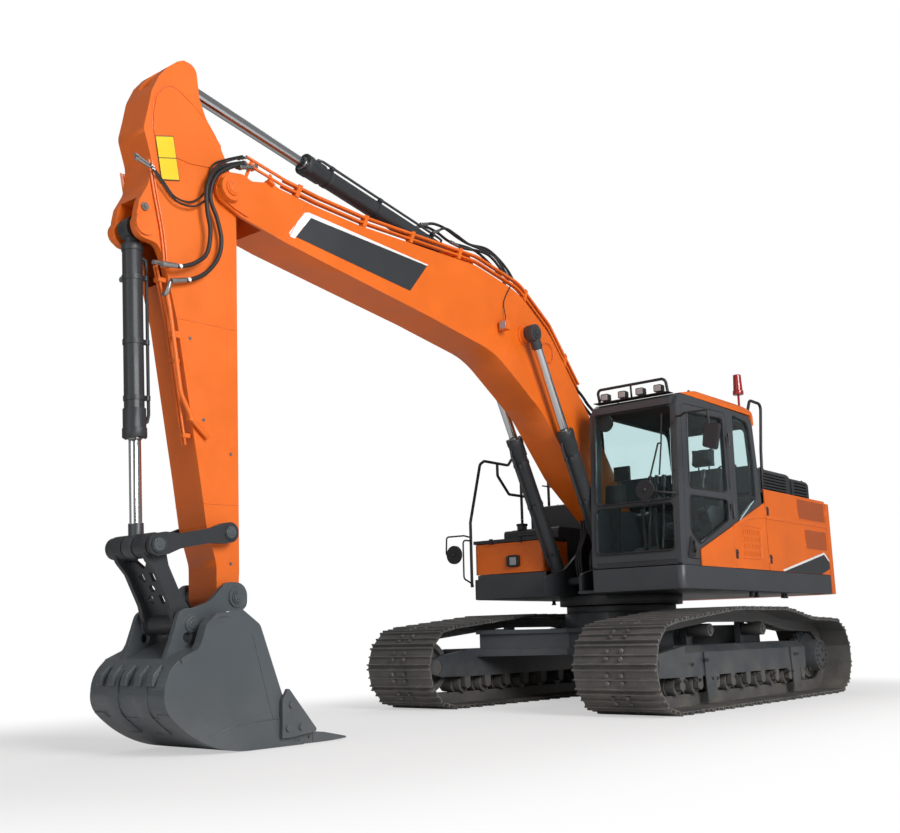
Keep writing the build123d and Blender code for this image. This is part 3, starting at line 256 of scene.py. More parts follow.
def build_grain(group: bpy.types.NodeTree) -> None:
    """Fine orange peel with slow waviness, as a height and a blotch mask.

    Args:
        group: Empty node group.
    """
    group_sockets(group, {"Scale": 120.0, "Waves": 0.3}, ("Height", "Blotch"))
    tree = NodeTree(group)
    given = tree.add("NodeGroupInput")
    place = tree.add("TexCoord").outputs["Object"]
    fine = tree.noise(place, given.outputs["Scale"], 2.0)
    slow = tree.noise(place, 2.2, 5.0, 0.55)
    height = tree.math("ADD", fine, tree.math("MULTIPLY", slow, given.outputs["Waves"]))
    tree.add("NodeGroupOutput", {"Height": height, "Blotch": tree.ramp(slow, 0.3, 0.7)})


BUILDERS: dict[Effect, Callable[[bpy.types.NodeTree], None]] = {
    Effect.WEAR: build_wear, Effect.DUST: build_dust, Effect.GRAIN: build_grain}


# ================================================================ finishes
# black of a grille's holes: painted shade seen through the perforation
HOLE_SHADE_COLOUR: Colour = (0.012, 0.011, 0.010)
EYE_COLOUR: Colour = (0.040, 0.044, 0.049)
COAT_ROUGHNESS = 0.12
DUST_ROUGHNESS = 0.3
EYE_ROUGHNESS = 0.28
BLOTCH_ROUGHNESS = 0.10


def new_material(name: str) -> tuple[bpy.types.Material, NodeTree, bpy.types.Node]:
    """Make a material.

    Args:
        name: Name of the material.

    Returns:
        The material, its node tree and its shader.
    """
    made = bpy.data.materials.new(name)
    made.use_nodes = True
    return made, NodeTree(made.node_tree), made.node_tree.nodes["Principled BSDF"]


@dataclass(frozen=True)
class Finish:
    """One opaque finish: a base colour with worn edges, dust and grain, and for grilles black dots of painted
    shade where the holes are.
    """

    name: str
    colour: Colour
    roughness: float = 0.45
    metallic: float = 0.0
    coat: float = 0.0
    worn_colour: Colour = (0.30, 0.29, 0.28)
    worn: float = 0.35
    worn_radius: float = 0.006
    dust_colour: Colour = (0.36, 0.31, 0.25)
    dust_top: float = 0.25
    splash: float = 0.35
    splash_height: float = 1.1
    grain_scale: float = 160.0
    bump: float = 0.03
    blotch: float = 0.06
    # spacing of a grille's holes, whose dots are painted black as shade; 0 for none
    holes: float = 0.0
    painted: tuple[Flat, float] | None = None

    def material(self) -> bpy.types.Material:
        """Find or build the material.

        Returns:
            The material of this finish.
        """
        found = bpy.data.materials.get(f"{self.name}_finish")
        if found:
            return found
        made, tree, shader = new_material(f"{self.name}_finish")
        grain = tree.add("Group", {"Scale": self.grain_scale}, node_tree=effect_group(Effect.GRAIN))
        blotch = grain.outputs["Blotch"]
        amounts = {"Top": self.dust_top, "Splash": self.splash, "Splash Height": self.splash_height}
        dust = tree.add("Group", amounts, node_tree=effect_group(Effect.DUST)).outputs["Mask"]
        shade = tuple(min(1.0, c * (1.0 - self.blotch)) for c in self.colour)
        light = tuple(min(1.0, c * (1.0 + self.blotch)) for c in self.colour)
        colour = tree.mix(blotch, shade, light)
        rough = tree.math("ADD", self.roughness - BLOTCH_ROUGHNESS / 2,
                          tree.math("MULTIPLY", blotch, BLOTCH_ROUGHNESS))
        if self.worn:
            amounts = {"Radius": self.worn_radius, "Amount": self.worn}
            wear = tree.add("Group", amounts, node_tree=effect_group(Effect.WEAR))
            colour = tree.mix(wear.outputs["Mask"], colour, self.worn_colour)
        colour = tree.mix(dust, colour, self.dust_colour)
        # hole pattern of the grille, its dots painted black as shade in place of openings
        if self.holes:
            place = tree.add("TexCoord").outputs["Object"]
            cells = tree.add("TexVoronoi", {"Vector": place, "Scale": 1.0 / self.holes, "Randomness": 0.0})
            colour = tree.mix(tree.ramp(cells.outputs["Distance"], 0.42, 0.34), colour, HOLE_SHADE_COLOUR)
        rough = tree.math("ADD", rough, tree.math("MULTIPLY", dust, DUST_ROUGHNESS), clamp=True)
        metallic = self.metallic
        if self.painted:
            eye = self._eye_mask(tree)
            colour = tree.mix(eye, colour, EYE_COLOUR)
            metallic = tree.math("SUBTRACT", 1.0, eye)
            rough = tree.math("ADD", rough, tree.math("MULTIPLY", eye, EYE_ROUGHNESS))
        bump = tree.add("Bump", {"Height": grain.outputs["Height"], "Strength": self.bump, "Distance": 0.004})
        tree.fill(shader, {"Base Color": colour, "Roughness": rough, "Metallic": metallic,
                           "Coat Weight": self.coat, "Coat Roughness": COAT_ROUGHNESS,
                           "Normal": bump.outputs[0]})
        return made

    def _eye_mask(self, tree: NodeTree) -> bpy.types.NodeSocket:
        """Mask of the painted eye at a rod's end.

        Args:
            tree: Tree to add to.

        Returns:
            1 within the painted reach of the pin, 0 beyond it.
        """
        (x, z), reach = self.painted
        axes = tree.add("SeparateXYZ", {0: tree.add("TexCoord").outputs["Object"]})
        flat = tree.add("CombineXYZ", {"X": tree.math("SUBTRACT", axes.outputs["X"], x),
                                       "Y": tree.math("SUBTRACT", axes.outputs["Z"], z)})
        away = tree.add("VectorMath", {0: flat.outputs[0]}, operation="LENGTH").outputs["Value"]
        return tree.ramp(away, reach + 0.004, reach)


@dataclass(frozen=True)
class Glass:
    """Thin tinted cab glass with a faint film of dust."""

    name: str
    tint: Colour = (0.74, 0.86, 0.865)
    roughness: float = 0.02
    refraction: float = 1.12
    film: float = 0.04
    film_height: float = 4.0
    film_colour: Colour = (0.40, 0.38, 0.34)

    def material(self) -> bpy.types.Material:
        """Find or build the glass material.

        Returns:
            The glass material.
        """
        found = bpy.data.materials.get(f"{self.name}_finish")
        if found:
            return found
        made, tree, shader = new_material(f"{self.name}_finish")
        amounts = {"Top": self.film, "Splash": self.film, "Splash Height": self.film_height}
        dust = tree.add("Group", amounts, node_tree=effect_group(Effect.DUST)).outputs["Mask"]
        grain = tree.add("Group", node_tree=effect_group(Effect.GRAIN))
        colour = tree.mix(dust, self.tint, self.film_colour)
        rough = tree.math("ADD", self.roughness, tree.math("MULTIPLY", dust, DUST_ROUGHNESS))
        bump = tree.add("Bump", {"Height": grain.outputs["Height"], "Strength": 0.01, "Distance": 0.002})
        tree.fill(shader, {"Base Color": colour, "Roughness": rough, "Normal": bump.outputs[0],
                           "Transmission Weight": 1.0, "IOR": self.refraction})
        return made


ORANGE = Finish("orange_paint", (0.76, 0.138, 0.006), 0.46, coat=0.10, worn_colour=(0.50, 0.34, 0.25),
                worn=0.35, dust_top=0.05, splash=0.06, splash_height=1.6)
GREY = Finish("grey_paint", (0.044, 0.048, 0.054), 0.46, coat=0.05, worn_colour=(0.20, 0.19, 0.18),
              dust_top=0.12)
DARK = Finish("dark_paint", (0.026, 0.029, 0.033), 0.46, coat=0.03, worn_colour=(0.13, 0.13, 0.12),
              dust_top=0.08, splash=0.2)
FRAME_GREY = Finish("frame_paint", (0.040, 0.048, 0.056), 0.40, coat=0.1, worn_colour=(0.22, 0.22, 0.22),
                    worn=0.5, dust_top=0.10, splash=0.25, splash_height=0.8)
BUCKET_GREY = Finish("bucket_paint", (0.066, 0.078, 0.087), 0.40, coat=0.10, worn_colour=(0.30, 0.30, 0.31),
                     worn=0.5, dust_top=0.05, splash=0.10, splash_height=0.6)
LINK_GREY = Finish("link_paint", (0.020, 0.023, 0.027), 0.46, coat=0.04, worn_colour=(0.24, 0.24, 0.25),
                   worn=0.45, dust_top=0.06)
TRACK = Finish("track_steel", (0.074, 0.074, 0.074), 0.46, worn_colour=(0.34, 0.32, 0.30), worn=0.8,
               worn_radius=0.008, dust_top=0.12, splash=0.22, splash_height=1.0, bump=0.08)
CHROME = Finish("chrome_rod", (0.66, 0.68, 0.70), 0.14, metallic=1.0, worn=0.0, dust_top=0.04, splash=0.05,
                bump=0.004, blotch=0.02)
PLASTIC = Finish("black_plastic", (0.016, 0.016, 0.018), 0.46, worn_colour=(0.06, 0.06, 0.06), worn=0.2,
                 grain_scale=420.0, bump=0.06, dust_top=0.05, splash=0.1)
RUBBER = Finish("hose_rubber", (0.014, 0.014, 0.015), 0.50, worn_colour=(0.05, 0.05, 0.05), worn=0.15,
                grain_scale=300.0, bump=0.05, dust_top=0.06, splash=0.1)
CLOTH = Finish("seat_cloth", (0.055, 0.058, 0.064), 0.88, worn=0.0, grain_scale=900.0, bump=0.15,
               dust_top=0.05)
LENS = Finish("red_lens", (0.30, 0.012, 0.010), 0.16, coat=0.6, worn=0.0, splash=0.1, bump=0.02)
MACHINERY = Finish("machinery", (0.08, 0.08, 0.08), 0.55, worn_colour=(0.3, 0.3, 0.3))
WHITE = Finish("white_film", (0.80, 0.80, 0.79), 0.40, worn=0.15, splash=0.1)
PANEL = Finish("dark_film", (0.030, 0.033, 0.037), 0.46, worn=0.05, splash=0.05, dust_top=0.05)
YELLOW = Finish("yellow_film", (0.85, 0.58, 0.02), 0.42, worn=0.1, splash=0.1)
ZINC = Finish("zinc_plate", (0.34, 0.34, 0.33), 0.34, metallic=0.9, worn=0.2, worn_colour=(0.3, 0.29, 0.27),
              splash=0.1)
LAMP_GLASS = Finish("lamp_glass", (0.30, 0.31, 0.32), 0.08, coat=0.8, worn=0.0, dust_top=0.1, splash=0.05,
                    bump=0.0)
LINING = Finish("cab_lining", (0.030, 0.030, 0.030), 0.8, worn=0.0)
# orange grille whose holes are black dots of painted shade
MESH = Finish("grille_mesh", (0.60, 0.115, 0.018), 0.5, worn=0.0, holes=0.0105)
GLASS = Glass("window_glass")
FINISHES = {f.name: f for f in (ORANGE, GREY, DARK, BUCKET_GREY, TRACK, CHROME, PLASTIC, RUBBER, CLOTH, LENS,
                                MACHINERY, GLASS)}

# finishes of single frame parts, where they differ from their slot's
ODD_FINISHES: dict[str, Finish] = {
    "side_links": LINK_GREY, "bucket_link": LINK_GREY, "track_frames": FRAME_GREY, "car_body": FRAME_GREY,
    "sprockets": FRAME_GREY, "bucket_cylinder_barrel": DARK, "arm_cylinder_barrel": DARK,
    "boom_cylinder_barrels": DARK,
    "boom_cylinder_rods": replace(CHROME, name="boom_rod_chrome", painted=((1.880, 3.500), 0.162)),
    "bucket_cylinder_rod": replace(CHROME, name="bucket_rod_chrome", painted=((5.998, 1.300), 0.150)),
    "arm_cylinder_rod": replace(CHROME, name="arm_rod_chrome", painted=((5.804, 4.628), 0.080))}


# ================================================================ mesh building
def mm(*values: float) -> tuple[float, ...]:
    """Millimetres to metres."""
    return tuple(value * MM for value in values)


def rounded(points: Sequence[Point], steps: int = 8) -> list[Vector]:
    """Run a smooth line through points.

    Args:
        points: Points it passes, in metres.
        steps: Pieces between two points.

    Returns:
        Points along the smooth line.
    """
    knots = [Vector(p) for p in points]
    knots = [knots[0] * 2 - knots[1], *knots, knots[-1] * 2 - knots[-2]]
    line = []
    for a, b, c, d in zip(knots, knots[1:], knots[2:], knots[3:]):
        for k in range(steps):
            t = k / steps
            line.append(0.5 * (2 * b + (c - a) * t + (2 * a - 5 * b + 4 * c - d) * t * t
                               + (3 * b - a - 3 * c + d) * t ** 3))
    return [*line, knots[-2]]


class Shape:
    """A mesh under construction, in metres, in the frame's own axes."""

    def __init__(self) -> None:
        """Start empty."""
        self.mesh = bmesh.new()

    def rod(self, start: Point, end: Point, radius: float, end_radius: float | None = None,
            sides: int = 24) -> "Shape":
        """Add a round bar, disc or cone.

        Args:
            start: Middle of one end.
            end: Middle of the other end.
            radius: Radius at the start.
            end_radius: Radius at the end, if it differs.
            sides: Number of side faces.

        Returns:
            This shape.
        """
        a, b = Vector(start), Vector(end)
        turn = (b - a).to_track_quat("Z", "Y").to_matrix().to_4x4()
        bmesh.ops.create_cone(self.mesh, cap_ends=True, segments=sides, radius1=radius,
                              radius2=radius if end_radius is None else end_radius,
                              depth=(b - a).length, matrix=Matrix.Translation((a + b) / 2) @ turn)
        return self

    def box(self, low: Point, high: Point) -> "Shape":
        """Add a box between two corners.

        Args:
            low: Lowest corner.
            high: Highest corner.

        Returns:
            This shape.
        """
        size = Vector(high) - Vector(low)
        place = Matrix.Translation((Vector(low) + Vector(high)) / 2) @ Matrix.Diagonal((*size, 1.0))
        bmesh.ops.create_cube(self.mesh, size=1.0, matrix=place)
        return self

    def ball(self, place: Point, radius: float) -> "Shape":
        """Add a ball.

        Args:
            place: Its centre.
            radius: Its radius.

        Returns:
            This shape.
        """
        bmesh.ops.create_uvsphere(self.mesh, u_segments=16, v_segments=10, radius=radius,
                                  matrix=Matrix.Translation(place))
        return self

    def prism(self, outline: Sequence[Point], shift: Point) -> "Shape":
        """Add a flat outline pushed along a vector.

        Args:
            outline: Corners of the flat outline.
            shift: How far and where it is pushed.

        Returns:
            This shape.
        """
        near = [self.mesh.verts.new(p) for p in outline]
        far = [self.mesh.verts.new(Vector(p) + Vector(shift)) for p in outline]
        self.mesh.faces.new(near[::-1])
        self.mesh.faces.new(far)
        for i, corner in enumerate(near):
            j = (i + 1) % len(near)
            self.mesh.faces.new((corner, near[j], far[j], far[i]))
        return self

    def slab(self, outline: Sequence[Flat], low: float, high: float) -> "Shape":
        """Add a plate whose outline lies in X and Z.

        Args:
            outline: Corners as (x, z).
            low: Where it starts along Y.
            high: Where it ends along Y.

        Returns:
            This shape.
        """
        return self.prism([(x, low, z) for x, z in outline], (0.0, high - low, 0.0))

    def tube(self, path: Sequence[Point], radius: float, sides: int = 12) -> "Shape":
        """Add a round tube along a path.

        Args:
            path: Points of its middle line.
            radius: Its radius.
            sides: Faces around it.

        Returns:
            This shape.
        """
        line = [Vector(p) for p in path]
        normal = (line[1] - line[0]).orthogonal().normalized()
        rings = []
        for i, place in enumerate(line):
            ahead = (line[min(i + 1, len(line) - 1)] - line[max(i - 1, 0)]).normalized()
            normal = (normal - ahead * normal.dot(ahead)).normalized()
            aside = ahead.cross(normal)
            rings.append([self.mesh.verts.new(place + (normal * math.cos(t) + aside * math.sin(t)) * radius)
                          for t in (math.tau * k / sides for k in range(sides))])
        for ring, following in zip(rings, rings[1:]):
            for k in range(sides):
                j = (k + 1) % sides
                self.mesh.faces.new((ring[k], ring[j], following[j], following[k]))
        self.mesh.faces.new(rings[0][::-1])
        self.mesh.faces.new(rings[-1])
        return self

    def bolt(self, place: Point, facing: Point, size: float = 0.010) -> "Shape":
        """Add a hexagonal bolt head on its washer.

        Args:
            place: Where it sits.
            facing: Direction it points.
            size: Radius of the head.

        Returns:
            This shape.
        """
        base, out = Vector(place), Vector(facing).normalized()
        self.rod(base - out * 0.002, base + out * size * 0.3, size * 1.35, sides=14)
        return self.rod(base, base + out * size, size, size * 0.94, sides=6)

    def piece(self, name: str, finish: "Finish | Glass", body: str, edge: float = 0.0) -> bpy.types.Object:
        """Turn the shape into a piece that rides on a body.

        Args:
            name: Name of the piece.
            finish: Its finish.
            body: Body that it rides on.
            edge: Width of its rounded edges, or 0.

        Returns:
            The new object.
        """
        bmesh.ops.recalc_face_normals(self.mesh, faces=self.mesh.faces)
        data = bpy.data.meshes.new(name)
        self.mesh.to_mesh(data)
        self.mesh.free()
        for face in data.polygons:
            face.use_smooth = True
        data.set_sharp_from_angle(angle=math.radians(SHARP_DEGREES))
        made = bpy.data.objects.new(name, data)
        bpy.context.scene.collection.objects.link(made)
        data.materials.append(finish.material())
        if edge:
            bevel = made.modifiers.new("edge", "BEVEL")
            bevel.width = edge
            bevel.segments = 2
            bevel.limit_method = "ANGLE"
        if body:
            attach(made, body)
        log.info("made %s", name)
        return made


@dataclass(frozen=True)
class Member:
    """Local measures on a member: along it from pin to pin, up from that line, and out along Y."""

    start: Flat
    end: Flat

    def at(self, along: float, up: float, out: float = 0.0) -> Point:
        """Turn local millimetres into a place in the frame.

        Args:
            along: Distance from the first pin towards the second.
            up: Distance to the left of that line.
            out: Distance along Y.

        Returns:
            The place, in metres.
        """
        length = math.dist(self.start, self.end)
        ux, uz = (self.end[0] - self.start[0]) / length, (self.end[1] - self.start[1]) / length
        return (self.start[0] + (ux * along - uz * up) * MM, out * MM,
                self.start[1] + (uz * along + ux * up) * MM)

    def flat(self, along: float, up: float) -> Flat:
        """The same place as (x, z)."""
        place = self.at(along, up)
        return place[0], place[2]


def pin(joint: str) -> Flat:
    """Where a joint's axis crosses the middle plane, as (x, z)."""
    return PINS[joint][0], PINS[joint][2]


def seated(piece: bpy.types.Object, places: Sequence[Point], toward: Point) -> list[Vector]:
    """Drop places onto a piece along one direction.

    Args:
        piece: Piece to meet.
        places: Where the lines start.
        toward: Their direction.

    Returns:
        The places met, in order, without those that miss.
    """
    found = (piece.ray_cast(Vector(place), Vector(toward).normalized()) for place in places)
    return [place for met, place, _, _ in found if met]


PINS = {j["name"]: j["pos_m"] for j in frame["record"]["behaviour"]["joints"] if "pos_m" in j}
BOOM = Member(pin("boom_lift"), pin("arm_swing"))
ARM = Member(pin("arm_swing"), pin("bucket_curl"))


# ================================================================ boom and arm
@dataclass
class PinCaps:
    """Round caps with a keeper bolt on the ends of the pins."""

    # name, body, x and z of the pin, distance of its end from the middle, radius, all in mm
    rows: tuple[tuple[str, str, float, float, float, float], ...] = (
        ("arm_pin_cap", "boom", 5472, 3852, 264, 44),
        ("boom_rod_cap", "boom_rods", 1880, 3500, 363, 42),
        ("boom_base_cap", "upper_structure", 640, 1210, 381, 40),
        ("boom_foot_cap", "upper_structure", 146.5, 1811, 255, 42),
        ("side_link_cap", "side_links", 5428, 1407, 246, 40),
        ("link_pin_cap", "side_links", 5998, 1300, 246, 42),
        ("bucket_pin_cap", "bucket", 5373, 980, 264, 36),
        ("bucket_link_cap", "bucket", 5730, 812, 252, 40))

    def build(self) -> None:
        """Make a cap on both sides of each pin."""
        for name, body, x, z, out, radius in self.rows:
            shape = Shape()
            for side in (-1, 1):
                shape.rod(mm(x, side * (out - 4), z), mm(x, side * (out + 7), z), radius * MM)
                shape.rod(mm(x, side * (out + 5), z), mm(x, side * (out + 12), z), radius * 0.62 * MM,
                          radius * 0.5 * MM)
                shape.bolt(mm(x + radius * 0.5, side * (out + 6), z + radius * 0.62), (0, side, 0), 0.008)
            finish = ORANGE if body in ("boom", "arm") else BUCKET_GREY if "boom" not in body else DARK
            shape.piece(name, finish, body, edge=0.0015)


@dataclass
class BoomTrim:
    """Blank panel, lamp, weld beads, fittings and hoses of the boom."""

    half: float = 190.0
    dark_panel: tuple[Flat, ...] = ((5024, 78), (4951, 318), (3655, 775), (3768, 431))
    white_edge: tuple[Flat, ...] = (
        (5096, 66), (5074, 44), (5030, 60), (4990, 200), (4915, 322), (3690, 752), (3636, 796), (4985, 345),
        (5020, 318))
    # radius, side, route of (x, z) of the hoses over the bend
    routes: tuple[tuple[float, float, tuple[Flat, ...]], ...] = (
        (13, 50, ((3150, 4300), (3010, 4345), (2843, 4345), (2657, 4306), (2480, 4290), (2245, 4316),
                  (2060, 4270), (1880, 4170), (1760, 4040))),
        (11, 96, ((3040, 4250), (2900, 4320), (2740, 4300), (2560, 4262), (2330, 4262), (2160, 4240),
                  (1960, 4100))),
        (13, 135, ((2830, 4182), (2707, 4175), (2427, 4214), (2252, 4190), (2055, 4066))),
        (13, -60, ((3150, 4300), (3000, 4350), (2830, 4340), (2640, 4300), (2245, 4310), (1880, 4160),
                   (1760, 4030))))
    # start and end as (along, up, out), and radius of the couplings at the tip
    couplings: tuple[tuple[Point, Point, float], ...] = (
        ((5640, 314, 174), (5690, 236, 180), 17), ((5640, 366, 174), (5700, 300, 181), 9),
        ((5560, 330, 206), (5690, 214, 213), 17))

    def build(self) -> None:
        """Make everything on the boom."""
        for name, outline, rise, finish in (("boom_white_edge", self.white_edge, 1.2, WHITE),
                                            ("boom_dark_panel", self.dark_panel, 1.8, PANEL)):
            shape = Shape()
            corners = [BOOM.flat(*corner) for corner in outline]
            for side in (-1, 1):
                shape.slab(corners, side * self.half * MM, side * (self.half + rise) * MM)
            shape.piece(name, finish, "boom")
        self._welds()
        self._lamp()
        self._fittings()
        self._hoses()

    def _welds(self) -> None:
        """Weld beads round the bosses and along the plate joints."""
        shape = Shape()
        for side in (-1, 1):
            ring = [BOOM.at(1830 + 100 * math.cos(t), 1002 + 100 * math.sin(t), side * 209)
                    for t in (math.tau * k / 32 for k in range(33))]
            shape.tube(ring, 0.005, 6)
            out = side * (self.half + 0.5)
            for a, low, top in ((5090, -10, 392), (2420, 560, 1316)):
                shape.tube([BOOM.at(a, low, out), BOOM.at(a - 60, top, out)], 0.003, 6)
        shape.piece("boom_weld_beads", ORANGE, "boom")

    def _lamp(self) -> None:
        """Lens and cable of the work lamp on the boom."""
        low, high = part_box("boom_lamp")
        middle = (Vector(low) + Vector(high)) / 2
        shape = Shape()
        shape.box((high[0] - 0.006, low[1] + 0.030, low[2] + 0.008),
                  (high[0] + 0.004, high[1] - 0.008, high[2] - 0.008))
        shape.piece("boom_lamp_lens", LAMP_GLASS, "boom", edge=0.004)
        cable = rounded([(middle.x - 0.02, 0.235, high[2] - 0.02), (middle.x - 0.06, 0.225, high[2] + 0.05),
                         BOOM.at(2600, 1100, 196), BOOM.at(2560, 1300, 196), BOOM.at(2540, 1352, 150)])
        Shape().tube(cable, 0.005, 8).piece("boom_lamp_cable", RUBBER, "boom")

    def _fittings(self) -> None:
        """Steel couplings and their brackets at the boom's tip, where the hoses start."""
        shape, bracket = Shape(), Shape()
        for start, end, radius in self.couplings:
            a, b = Vector(BOOM.at(*start)), Vector(BOOM.at(*end))
            shape.rod(a, b, radius * MM, sides=20)
            for t in (0.08, 0.5, 0.92):
                mid = a.lerp(b, t)
                shape.rod(mid, mid + (b - a).normalized() * 0.02, radius * 1.3 * MM, sides=6)
        shape.piece("tip_couplings", ZINC, "boom", edge=0.001)
        for a in (5400, 5590):
            for half, low, high, width in ((14, 190, 395, 0.006), (30, 294, 312, 0.058)):
                corners = ((-half, low), (half, low), (half, high), (-half, high))
                bracket.prism([BOOM.at(a + d, up, 166) for d, up in corners], (0, width, 0))
            bracket.bolt(BOOM.at(a, 314, 212), (0, 0, 1), 0.010)
        bracket.piece("tip_brackets", ORANGE, "boom", edge=0.002)

    def _hoses(self) -> None:
        """Hoses over the boom's bend to the arm cylinder, and bundles at the boom's foot."""
        shape, ends = Shape(), Shape()
        for radius, y, route in self.routes:
            line = rounded([mm(x, y, z) for x, z in route])
            shape.tube(line, radius * MM)
            for a, b in ((line[0], line[1]), (line[-1], line[-2])):
                ahead = (b - a).normalized()
                ends.rod(a - ahead * 0.03, a + ahead * 0.05, radius * 1.25 * MM, sides=16)
                ends.rod(a - ahead * 0.05, a - ahead * 0.02, radius * 1.5 * MM, sides=6)
        for k, y in enumerate((-132, -96, -60, 60, 96, 132)):
            rise = 26 * (k % 3)
            line = rounded([mm(560 + 10 * k, y, 1120), mm(620 + 12 * k, y, 1420 + rise),
                            mm(470 + 10 * k, y * 1.1, 1760 + rise), BOOM.at(640, 700 + rise, y * 1.2),
                            BOOM.at(1010, 850 + 12 * k, y * 1.25), BOOM.at(1230, 945, y * 1.3)])
            shape.tube(line, 0.015)
        shape.piece("boom_hoses", RUBBER, "boom")
        ends.piece("boom_hose_ends", ZINC, "boom", edge=0.001)


THICK_ROUTE: tuple[Flat, ...] = (
    (5345, 4105), (5509, 4020), (5620, 3930), (5685, 3784), (5676, 3625), (5646, 3487), (5668, 3320),
    (5758, 3225), (5872, 3167), (5953, 3153))


@dataclass
class ArmHoses:
    """Hoses that cross the arm's joint: two thick ones and a thin pair on the left, one on the right."""

    # radius, side at the boom, side at the arm, route of (x, z), all in mm
    routes: tuple[tuple[float, float, float, tuple[Flat, ...]], ...] = (
        (15, 178, 232, THICK_ROUTE),
        (15, 214, 200, ((5345, 4092), (5495, 4000), (5592, 3903), (5627, 3743), (5562, 3599), (5523, 3448),
                        (5555, 3307), (5656, 3179), (5771, 3107), (5853, 3080))),
        (7, 180, 178, ((5330, 4165), (5480, 4085), (5593, 4006), (5634, 3872), (5657, 3775), (5774, 3672),
                       (5908, 3667), (6008, 3751), (6099, 3828), (6155, 3845))),
        (7, 196, 194, ((5330, 4150), (5478, 4068), (5585, 3985), (5620, 3850), (5640, 3745), (5760, 3640),
                       (5905, 3634), (6020, 3722), (6105, 3800), (6160, 3815))),
        (15, -178, -232, THICK_ROUTE))

    def build(self) -> None:
        """Make the hoses, their bands and the couplings at the arm."""
        hoses, bands, ends = Shape(), Shape(), Shape()
        for radius, y_boom, y_arm, route in self.routes:
            shares = [0.0, 0.3, 0.7] + [1.0] * (len(route) - 3)
            line = rounded([mm(x, y_boom + (y_arm - y_boom) * s, z) for s, (x, z) in zip(shares, route)], 10)
            hoses.tube(line, radius * MM, 16)
            ahead = (line[-1] - line[-2]).normalized()
            bands.rod(line[-1] - ahead * 0.075, line[-1] - ahead * 0.050, (radius + 0.8) * MM)
            ends.rod(line[-1] - ahead * 0.035, line[-1] + ahead * 0.075, (radius + 3) * MM)
            ends.rod(line[-1] + ahead * 0.055, line[-1] + ahead * 0.085, (radius + 6) * MM, sides=6)
        piece = hoses.piece("arm_hose_runs", RUBBER, "")
        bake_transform(piece)
        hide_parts("arm_hoses")
        bands.piece("arm_hose_bands", WHITE, "arm")
        ends.rod(ARM.at(672, 619, 180), ARM.at(655, 470, 176), 0.016)
        elbow = ((790, 500, 200), (835, 512, 200), (869, 517, 180), (868, 517, 152))
        ends.tube(rounded([ARM.at(*corner) for corner in elbow]), 0.015)
        ends.piece("arm_couplings", ZINC, "arm", edge=0.001)


@dataclass
class ArmTrim:
    """Blank plate, bolts, welds and small fittings of the arm."""

    face: float = 157.0
    plate: tuple[Flat, ...] = ((-235, 588), (-279, 441), (33, 388), (69, 536))

    def build(self) -> None:
        """Make everything on the arm."""
        centre = Vector((sum(a for a, _ in self.plate) / 4, sum(b for _, b in self.plate) / 4))
        border, face = Shape(), Shape()
        for side in (-1, 1):
            outline = [ARM.flat(*p) for p in self.plate]
            border.slab(outline, side * self.face * MM, side * (self.face + 1.2) * MM)
            corners = [Vector(p) for p in self.plate]
            for low, high in ((0.0, 0.49), (0.51, 1.0)):
                near, far = corners[1].lerp(corners[2], low), corners[0].lerp(corners[3], low)
                near_end, far_end = corners[1].lerp(corners[2], high), corners[0].lerp(corners[3], high)
                part = [p.lerp(centre, 0.04) for p in (far, near, near_end, far_end)]
                face.slab([ARM.flat(*p) for p in part], side * self.face * MM, side * (self.face + 1.8) * MM)
        border.piece("arm_plate_border", PANEL, "arm")
        face.piece("arm_yellow_plate", YELLOW, "arm")
        bolts = Shape()
        for side in (-1, 1):
            bolts.rod(ARM.at(292, 668, side * 148), ARM.at(292, 668, side * 162), 0.028)
            bolts.bolt(ARM.at(292, 668, side * 160), (0, side, 0), 0.017)
            for a, b in ((1900, -40), (2440, -30), (2650, -30), (1133, 300), (1683, 190)):
                bolts.bolt(ARM.at(a, b, side * 150), (0, side, 0), 0.009)
        bolts.piece("arm_bolts", ZINC, "arm")
        welds = Shape()
        boss = ((-277, 604), (-388, 606), (-528, 582), (-630, 490), (-640, 400), (-560, 255), (-480, 152),
                (-330, 22))
        for side in (-1, 1):
            welds.tube(rounded([ARM.at(a, b, side * 151) for a, b in boss]), 0.004, 6)
            for a, top in ((1010, 400), (2250, 195)):
                welds.tube([ARM.at(a, b, side * 151) for b in (-105, top)], 0.003, 6)
        welds.piece("arm_weld_beads", ORANGE, "arm")
        pipes = Shape()
        for side in (-1, 1):
            for lift in (0, 22):
                course = ((-44, 640), (175, 600), (429, 545), (640, 520), (680, 545))
                pipes.tube(rounded([ARM.at(a, b - lift, side * 162) for a, b in course]), 0.008, 8)
        pipes.piece("arm_grease_pipes", ORANGE, "arm")


